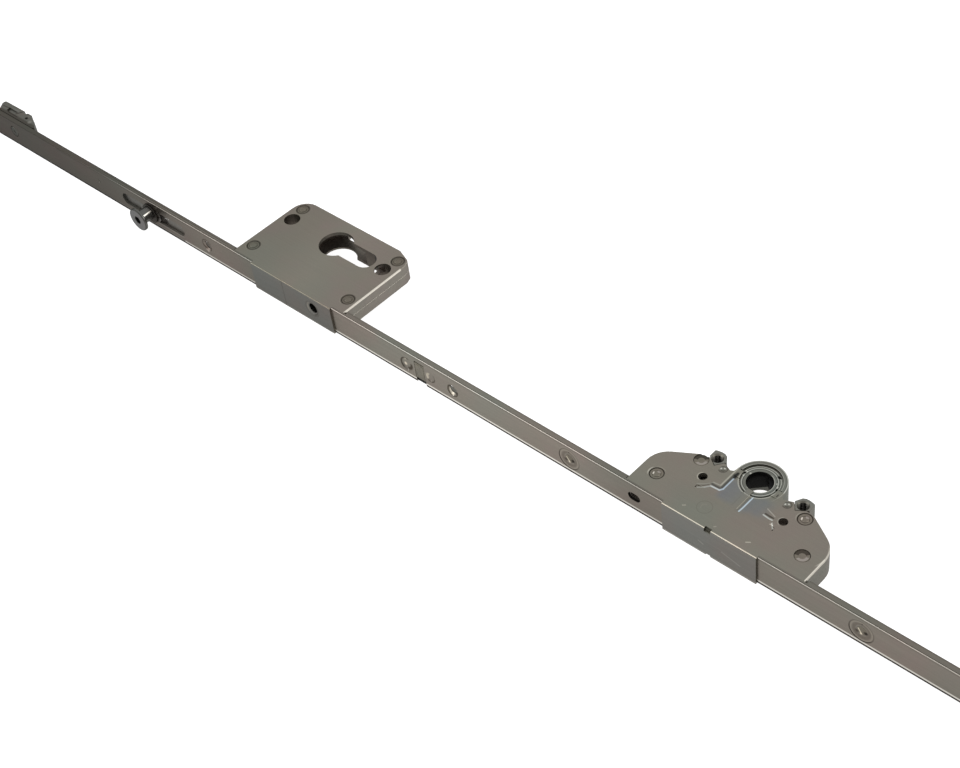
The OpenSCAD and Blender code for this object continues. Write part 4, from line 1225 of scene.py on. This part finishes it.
@dataclass
class Rail:
    """The face rail with its guide studs, its clip and the drive rod behind it.

    Single numbers are X, except for the Y of the back of the rail's web.
    """

    screws: tuple[float, ...] = (-316.0, -145.2, 128.0)
    cam_slot: float = -361.3
    rod_rivet: float = -352.6
    clip: float = -165.75
    window: float = -165.8
    web: float = FACE + 1.3

    def channel(self) -> None:
        """Dresses the rail, with a painted highlight along its top front edge and painted shade on its other long
        edges and in its holes.
        """
        rail = copy_of("faceplate", "face_rail", Finish.RAIL)
        # The top and back take their own painted falloff; the top front rounding a painted highlight; the strips above
        # it, the lower edge and the holes painted shade; and the slot's and window's walls are painted lighter.
        repaint(rail, Finish.RAIL_TOP, self.on_side)
        repaint(rail, Finish.EDGE_LINE, lambda f: 20 < lean_of(f) < 55)
        repaint(rail, Finish.SHADE, lambda f: 60 < lean_of(f) < 85)
        repaint(rail, Finish.UNDER, lambda f: lean_of(f) < -12)
        repaint(rail, Finish.BORE, self.in_hole)
        repaint(rail, Finish.SLOT_WALL, lambda f: self.in_hole(f) and self.wide(centre_of(f).x))
        settle(rail, Body.CASE, Slot.SHEET, "faceplate")

    def on_side(self, face: Face) -> bool:
        """Says whether a face lies on the long sides of the rail or behind its web."""
        at = centre_of(face)
        return face.normal.y > -0.86 and (abs(at.z) > 6.9 or at.y > self.web)

    def in_hole(self, face: Face) -> bool:
        """Says whether a face is a wall of a hole in the rail's web."""
        at = centre_of(face)
        return abs(at.z) < 6.8 and at.y < self.web and abs(face.normal.y) < 0.3

    def wide(self, x: float) -> bool:
        """Says whether a hole is the slot of the cam or the window of the clip, whose walls are painted lighter."""
        return abs(x - self.cam_slot) < 30.0 or abs(x - self.window) < 4.5

    def slot_foot(self, vert: bmesh.types.BMVert) -> bool:
        """Says whether a corner lies on the lower edge of a slot of the rod behind a rail screw."""
        at = vert.co / MM
        return -2.6 < at.z < -0.6 and any(abs(at.x - x) < 18.4 for x in self.screws)

    def in_rivet(self, face: Face) -> bool:
        """Says whether a face is a wall of the rod's hole beside the cam."""
        at = centre_of(face)
        return abs(at.x - self.rod_rivet) < 3.0 and abs(at.z) < 3.3 and abs(face.normal.y) < 0.3

    def small_parts(self) -> None:
        """Dresses studs, clip and rod, with softened edges."""
        studs = softened("guide_studs", "rail_guide_studs", Finish.STUD, 0.18)
        settle(studs, Body.CASE, Slot.FASTENER, "guide_studs")
        clip = softened("stop_clip", "rail_stop_clip", Finish.CLIP, 0.12)
        for way in (-1.0, 1.0):
            shift(clip, (0.06 * way, 0, 0), lambda v: (v.co.x / MM - self.clip) * way > 2.6)
        # Painted shade under the clip.
        repaint(clip, Finish.SOCKET, lambda f: centre_of(f).z < -5.15)
        settle(clip, Body.CASE, Slot.CLIP, "stop_clip")
        rod = copy_of("drive_rod", "sliding_drive_rod", Finish.ROD)
        soften(rod, 0.15, lambda e: sharp(e) and e.calc_length() > 10 * MM)
        # Painted shade in the rod's hole beside the cam.
        repaint(rod, Finish.BORE, self.in_rivet)
        shift(rod, (0, 0, 0.8), self.slot_foot)
        settle(rod, Body.ROD, Slot.ROD, "drive_rod")

    def build(self) -> None:
        """Builds the whole rail."""
        self.channel()
        self.small_parts()


@dataclass
class LockCase:
    """The case for the profile cylinder: a plate over two castings, held by four rivets.

    side is half the length of the case, back the Y of its rear, right the X where the painted highlight
    on the plate's right edge starts, and tail the two X between which the opening's tail is round.
    """

    cylinder: Pair = (-255.2, FACE + 34.2)
    side: float = 36.0
    back: float = FACE + 48
    right: float = -217.0
    tail: Pair = (-234.0, -228.5)
    rivet_foot: float = TOP - 10.7

    def plate(self) -> None:
        """Dresses the plate with its folded flange."""
        plate = copy_of("lock_cover", "lock_case_plate", Finish.PLATE)
        # A painted highlight on the rounding of the right edge, painted shade on the rest of the outline, on the
        # flange's front and in the rivets' dishes, and a dim painted line along the fold.
        soften(plate, ROUNDING, lambda e: top_edge(e) and centre_of(e).x > self.right, Finish.EDGE_GLINT)
        soften(
            plate, 0.2,
            lambda e: top_edge(e) and centre_of(e).x < self.right - 1 and self.outlines(e, self.side),
            Finish.OUTLINE,
        )
        repaint(plate, Finish.FLANGE, flange_of)
        repaint(plate, Finish.FOLD_LINE, fold_of)
        repaint(plate, Finish.SHADE, lambda f: in_dish(centre_of(f), LOCK_RIVETS) and 0.1 < f.normal.z < 0.97)
        self.openings(plate)
        settle(plate, Body.CASE, Slot.SHEET, "lock_cover")

    def openings(self, piece: Piece) -> None:
        """Paints shade on the walls of the openings in a piece of the case."""
        repaint(piece, Finish.WALL, lambda f: upright(f) and not self.outside(centre_of(f)))
        repaint(piece, Finish.BORE, lambda f: upright(f) and self.tail_round(centre_of(f)))

    def outlines(self, edge: Edge, reach: float) -> bool:
        """Says whether an edge lies on the outline of the case, by its half length in millimetres."""
        at = centre_of(edge)
        return abs(at.x - self.cylinder[0]) > reach or at.y > self.back

    def tail_round(self, at: Vector) -> bool:
        """Says whether a place lies on the round end of the cylinder opening's tail."""
        return self.tail[0] < at.x < self.tail[1] and abs(at.y - self.cylinder[1]) < 5.6

    def outside(self, at: Vector) -> bool:
        """Says whether a place lies on the outer walls of the case."""
        return abs(at.x - self.cylinder[0]) > self.side + 1.5 or not FACE + 4 <= at.y <= self.back - 2

    def castings(self) -> None:
        """Dresses the two halves of the case, with a painted highlight on their rounded edges by the seam."""
        for node, name in (("lock_upper_case", "lock_case_upper"), ("lock_lower_case", "lock_case_lower")):
            half = copy_of(node, name, Finish.CASTING)
            self.openings(half)
            low, high = (corner.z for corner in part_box(node))
            soften(
                half, 0.2,
                lambda e: bend_of(e) > 50
                and (max(v.co.z for v in e.verts) < low + 1e-5 or min(v.co.z for v in e.verts) > high - 1e-5)
                and self.outlines(e, self.side + 2) and centre_of(e).z < 7.0,
                Finish.RUBBED,
            )
            settle(half, Body.CASE, Slot.CAST, node)

    def build(self) -> None:
        """Builds the lock case."""
        self.plate()
        self.castings()
        head = RivetHead(self.rivet_foot, glint=False, skin=Finish.PRESSED)
        settle(head.make(LOCK_RIVETS, "lock_case_rivets"), Body.CASE, Slot.FASTENER, "lock_rivets")


@dataclass
class GearBox:
    """The gearbox of the handle: pressed plate, castings, threaded nuts and the toothed follower.

    The plate's pressed area is as deep as emboss and its walls are as wide as slope. Its inner
    corners before the Y front are pushed back, and its outer ones beyond ring are raised.
    thread gives the direction, spread and finish of the parts of a nut's hole painted as lit or shaded.
    """

    rivets: tuple[Pair, ...] = ((-36.4, -21.9), (26.2, -5.4), (-26.4, -4.8), (36.2, -21.4))
    holes: tuple[Pair, ...] = ((-20.2, -11.8), (20.2, -11.8))
    rivet_foot: float = TOP - 11.6
    right: float = 38.5
    emboss: float = 0.4
    slope: float = 1.25
    front: float = -16.5
    push: float = 1.6
    ring: float = 8.6
    nut_x: float = 21.5
    tongue_at: Triple = (-0.3, -7.3, 7.87)
    tongue_size: Triple = (3.0, 3.2, 0.26)
    thread: tuple[tuple[float, float, Finish], ...] = (
        (188.0, 26.0, Finish.THREAD), (133.0, 12.0, Finish.THREAD_DIM), (78.0, 20.0, Finish.THREAD)
    )

    def press(self, plate: Piece) -> None:
        """Slopes the walls of the pressed area and lets it fade out at its front.

        Args:
            plate: the plate, whose pressed area has upright walls so far.
        """
        floor = TOP - self.emboss
        with shaping(plate, "FACE") as mesh:
            pick(
                plate, mesh, mesh.faces,
                lambda f: f.normal.z > 0.99 and abs(centre_of(f).z - floor) < 0.02 and abs(centre_of(f).x) < 20,
            )
            bpy.ops.mesh.inset(thickness=self.slope * MM, depth=0.0, use_even_offset=True)
            mesh = bmesh.from_edit_mesh(plate.data)
            inner = {v.index for f in mesh.faces if f.select for v in f.verts}
            front = [v.index for v in mesh.verts if v.index in inner and v.co.y < self.front * MM]
            rim = [
                v.index
                for v in mesh.verts
                if v.index not in inner and abs(v.co.z - floor * MM) < 1e-5 and v.co.y < 0
                and v.co.xy.length > self.ring * MM and abs(v.co.x) < 0.02
            ]
            for chosen, move in ((front, (0.0, self.push * MM, 0.0)), (rim, (0.0, 0.0, (self.emboss - 0.02) * MM))):
                bpy.ops.mesh.select_mode(type="VERT")
                bpy.ops.mesh.select_all(action="DESELECT")
                mesh = bmesh.from_edit_mesh(plate.data)
                mesh.verts.ensure_lookup_table()
                for index in chosen:
                    mesh.verts[index].select_set(True)
                mesh.select_flush_mode()
                bmesh.update_edit_mesh(plate.data)
                bpy.ops.transform.translate(value=move)

    def plate(self) -> None:
        """Dresses the plate."""
        plate = copy_of("gearbox_cover", "gearbox_plate", Finish.GEAR_PLATE)
        self.press(plate)
        # A painted highlight on the rounding of the right edge and along the fold, and painted shade on the rest of
        # the outline, on the flange's front and in the rivets' dishes.
        soften(plate, ROUNDING, lambda e: top_edge(e) and centre_of(e).x > self.right, Finish.EDGE_GLINT)
        soften(
            plate, 0.18,
            lambda e: top_edge(e) and centre_of(e).x < self.right and out_of(e) > 12 and self.on_outline(centre_of(e)),
            Finish.OUTLINE,
        )
        repaint(plate, Finish.FLANGE, flange_of)
        repaint(plate, Finish.BRIGHT_FOLD, fold_of)
        repaint(plate, Finish.SHADE, lambda f: in_dish(centre_of(f), self.rivets) and 0.1 < f.normal.z < 0.97)
        plate = joined([plate, self.tongue()], "gearbox_plate")
        settle(plate, Body.CASE, Slot.SHEET, "gearbox_cover", angle=20)

    def tongue(self) -> Piece:
        """Shapes the tongue of the plate's rib, which runs on over the ring to the eye.

        Returns:
            The tongue, not yet on a body.
        """
        bare()
        bpy.ops.mesh.primitive_cube_add(size=1.0, location=[at * MM for at in self.tongue_at])
        tongue = bpy.context.object
        tongue.scale = [side * MM for side in self.tongue_size]
        applied(tongue)
        tongue.data.materials.append(Finish.GEAR_PLATE.material())
        # Painted shade on the tongue's top edges.
        soften(tongue, 0.1, lambda e: sharp(e) and centre_of(e).z > 7.9, Finish.OUTLINE)
        return tongue

    def on_outline(self, at: Vector) -> bool:
        """Says whether a place lies away from the holes of the plate."""
        holes = (*self.rivets, *self.holes, *PINS)
        return all(math.hypot(at.x - x, at.y - y) > 3.7 for x, y in holes) and not (abs(at.x) < 20 and at.y < -5)

    def castings(self) -> None:
        """Dresses the two halves of the housing and the ring of the hub."""
        for node, name in (("gearbox_upper_housing", "gearbox_upper"), ("gearbox_lower_housing", "gearbox_lower")):
            half = copy_of(node, name, Finish.CASTING)
            # The pins and the hub's top take painted highlights and shade, the hub's walls painted shade, and the
            # lower edges a weaker painted highlight.
            repaint(half, Finish.HUB, lambda f: self.off(centre_of(f), *PINS[1]).length < 1.7 and f.normal.z > 0.3)
            repaint(half, Finish.HUB, lambda f: f.normal.z > 0.5 and centre_of(f).z > 7.2 and out_of(f) < 12)
            repaint(half, Finish.OUTLINE, lambda f: upright(f) and 6.0 < centre_of(f).z and out_of(f) < 11.2)
            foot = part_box(node)[0].z
            soften(
                half, 0.2,
                lambda e: sharp(e) and max(v.co.z for v in e.verts) < foot + 1e-5 and out_of(e) > 11,
                Finish.DULL_RUB,
            )
            settle(half, Body.CASE, Slot.CAST, node)

    def off(self, at: Vector, x: float, y: float = 0.0) -> Vector:
        """How far a place lies from an upright axis that both sides of the gearbox have."""
        return Vector((at.x - math.copysign(x, at.x), at.y - y))

    def fasteners(self) -> None:
        """Builds the rivets and dresses the nuts."""
        heads = RivetHead(self.rivet_foot).make(self.rivets[:2], "gearbox_rivet_heads")
        settle(heads, Body.CASE, Slot.FASTENER, "gearbox_rivets")
        caps = RivetHead(self.rivet_foot, dimple=True).make(self.rivets[2:], "gearbox_pressed_rivets")
        settle(caps, Body.CASE, Slot.FASTENER)
        nuts = copy_of("handle_nuts", "handle_screw_nuts", Finish.NUT)
        # Painted shade on the nuts' top edges, chamfers and holes, with strips of the holes' thread painted as lit.
        soften(
            nuts, 0.14,
            lambda e: bend_of(e) > 40 and centre_of(e).z > 7.9 and self.off(centre_of(e), self.nut_x).length > 3.0,
            Finish.OUTLINE,
        )
        for way, spread, finish in ((0.0, 181.0, Finish.BORE), *self.thread):
            repaint(nuts, finish, lambda f: self.in_nut(f, 2.3) and upright(f) and self.nut_way(f, way, spread))
        repaint(nuts, Finish.OUTLINE, lambda f: self.in_nut(f, 2.8) and 0.5 < f.normal.z < 0.97)
        settle(nuts, Body.CASE, Slot.FASTENER, "handle_nuts")

    def in_nut(self, face: Face, radius: float) -> bool:
        """Says whether a face lies within a radius of the axis of the nut on its side."""
        return self.off(centre_of(face), self.nut_x).length < radius

    def nut_way(self, face: Face, way: float, spread: float) -> bool:
        """Says whether a face of a nut's hole lies within a spread of a direction, both in degrees."""
        return points(self.off(centre_of(face), self.nut_x), way, spread)

    def follower(self) -> None:
        """Dresses the follower with its square socket."""
        hub = copy_of("handle_follower", "square_socket_follower", Finish.LIP)
        # Painted shade in the socket.
        repaint(hub, Finish.SOCKET, lambda f: centre_of(f).z < 7.6 and out_of(f) < 5.9)
        foot = min(v.co.z for v in hub.data.vertices)
        shift(hub, (0, 0, -1.4), lambda v: v.co.z < foot + 0.1 * MM)
        soften(hub, 0.12, lambda e: sharp(e) and centre_of(e).z > 7.5)
        settle(hub, Body.FOLLOWER, Slot.DARK, "handle_follower")

    def build(self) -> None:
        """Builds the gearbox."""
        self.plate()
        self.castings()
        self.fasteners()
        self.follower()


@dataclass
class MushroomCam:
    """The locking cam that stands out of the rail, on its washer and base.

    axis is its X and Z, pit the two Y of the hexagon in its head, face and head the Y before which
    its front and its head lie, stem a radius, and glint the direction and spread of a painted highlight
    along the stem.
    """

    axis: Pair = (-361.3, 0.9)
    pit: Pair = (FACE - 8.6, FACE - 5.9)
    stem: float = 4.2
    face: float = FACE - 8.0
    head: float = FACE - 6.0
    glint: Pair = (40.0, 7.0)

    def out(self, face: Face) -> float:
        """How far a face lies from the axis of the cam."""
        return math.dist(centre_of(face).xz, self.axis)

    def build(self) -> None:
        """Dresses cam, washer and base."""
        cam = copy_of("locking_cam", "mushroom_cam", Finish.CAM)
        # Painted shade in the hexagon and on the head's rounded edge, and a painted highlight along the stem.
        repaint(cam, Finish.SOCKET, lambda f: self.out(f) < 2.2 and self.pit[0] < centre_of(f).y < self.pit[1])
        repaint(cam, Finish.CAM_FACE, lambda f: f.normal.y < -0.9 and centre_of(f).y < self.face)
        repaint(
            cam, Finish.RUBBED,
            lambda f: abs(f.normal.y) < 0.3 and self.out(f) < self.stem and points(f.normal.xz, *self.glint),
        )
        soften(cam, 0.28, lambda e: bend_of(e) > 35 and centre_of(e).y < self.head, Finish.CAM_EDGE)
        settle(cam, Body.CAM, Slot.DARK, "locking_cam")
        washer = softened("cam_washer", "cam_washer_disc", Finish.WASHER, 0.15)
        settle(washer, Body.ROD, Slot.DARK, "cam_washer")
        base = softened("cam_base", "cam_base_plate", Finish.ROD, 0.12)
        settle(base, Body.ROD, Slot.DARK, "cam_base")


@dataclass
class EndBlock:
    """The cast block at the left end of the rail."""

    rim: float = 0.35
    screw_rim: float = 0.14

    def build(self) -> None:
        """Dresses the block and its screw."""
        block = copy_of("end_bracket", "rail_end_block", Finish.END)
        # Painted shade on the rounding of the block's top edges.
        soften(block, self.rim, lambda e: bend_of(e) > 40 and on_top(e), Finish.SHADE)
        settle(block, Body.CASE, Slot.CAST, "end_bracket")
        # The screw in its darker steel, with painted shade on its rim.
        screw = softened("bracket_screw", "end_block_screw", Finish.DARK, self.screw_rim, Finish.OUTLINE)
        settle(screw, Body.CASE, Slot.DARK, "bracket_screw")


@dataclass
class HiddenWorks:
    """What works inside the cases, dressed where it stands."""

    finishes: dict[Finish, tuple[str, ...]] = field(
        default_factory=lambda: {
            Finish.ROD: ("rod_rack", "rod_link", "rod_lug", "blocking_slide", "cylinder_lever"),
            Finish.TURNED: ("rod_rivets", "lever_spring", "detent_spring", "lock_pins"),
            Finish.BRASS: ("follower_bush",),
        }
    )

    def build(self) -> None:
        """Gives each hidden solid its finish."""
        for finish, nodes in self.finishes.items():
            for node in nodes:
                mesh = frame["nodes"][node].data
                mesh.materials.clear()
                mesh.materials.append(finish.material())
                LOG.info("%s dressed as %s", node, finish.value.name)


@dataclass
class Studio:
    """Camera, pale floor and soft lights, in metres."""

    eye: Triple = (0.28687, -0.39085, 0.54868)
    right: Triple = (0.727843, 0.677071, -0.10872)
    down: Triple = (0.421762, -0.567003, -0.707549)
    ahead: Triple = (-0.540705, 0.46913, -0.698251)
    lens: float = 65.58
    middle: Triple = (-0.16, -0.02, 0.0)
    sky_light: float = 0.5
    ground: float = 12.0
    gap: float = 0.2 * MM

    def camera(self) -> None:
        """Sets the camera at the angle of the photograph."""
        data = bpy.data.cameras.new("studio_camera")
        data.lens, data.sensor_width = self.lens, 36.0
        data.clip_start, data.clip_end = 0.01, 50.0
        camera = bpy.data.objects.new("studio_camera", data)
        axes = Matrix((self.right, [-c for c in self.down], [-c for c in self.ahead])).transposed()
        camera.matrix_world = Matrix.Translation(self.eye) @ axes.to_4x4()
        bpy.context.scene.collection.objects.link(camera)
        bpy.context.scene.camera = camera

    def floor(self) -> None:
        """Lays the pale floor just under the lock."""
        bare()
        bpy.ops.mesh.primitive_plane_add(size=self.ground, location=(0, 0, -TOP * MM - self.gap))
        floor = bpy.context.object
        floor.name = "studio_floor"
        floor.data.materials.append(Finish.FLOOR.material())
        applied(floor)

    def lamp(self, name: str, towards: Triple, far: float, size: Pair, power: float) -> None:
        """Hangs a soft area light that looks at the lock.

        Args:
            name: its name.
            towards: the direction from the lock to the light.
            far: its distance.
            size: its width and height.
            power: its power in watts.
        """
        data = bpy.data.lights.new(name, "AREA")
        data.shape, data.size, data.size_y, data.energy = "RECTANGLE", size[0], size[1], power
        lamp = bpy.data.objects.new(name, data)
        way = Vector(towards).normalized()
        lamp.location = Vector(self.middle) + way * far
        lamp.rotation_euler = way.to_track_quat("Z", "Y").to_euler()
        bpy.context.scene.collection.objects.link(lamp)

    def sky(self) -> None:
        """Makes the surroundings white to the camera and in reflections, and softer as light."""
        world = bpy.context.scene.world = bpy.data.worlds.new("studio_sky")
        graph = Graph(world)
        soft, white = (
            graph.put("ShaderNodeBackground", {"Color": (1.0, 1.0, 1.0, 1.0), "Strength": strength}).outputs[0]
            for strength in (self.sky_light, 1.0)
        )
        mixed = graph.put("ShaderNodeMixShader", {0: graph.seen(), 1: soft, 2: white})
        graph.close(mixed, "ShaderNodeOutputWorld")

    def build(self) -> None:
        """Sets up the studio."""
        self.camera()
        self.floor()
        self.sky()
        self.lamp("edge_light", (-0.5, -0.72, 0.48), 1.7, (1.8, 0.5), 8.0)
        self.lamp("side_light", (0.75, 0.35, 0.56), 1.8, (0.7, 1.2), 5.0)
        bpy.context.scene.view_settings.view_transform = "Standard"


def main() -> None:
    """Builds the dressed lock and its studio."""
    logging.basicConfig(level=logging.INFO, format="%(name)s %(message)s")
    Studio().build()
    for part in (Rail(), LockCase(), GearBox(), MushroomCam(), EndBlock(), HiddenWorks()):
        part.build()
    bare()


if __name__ == "__main__":
    main()
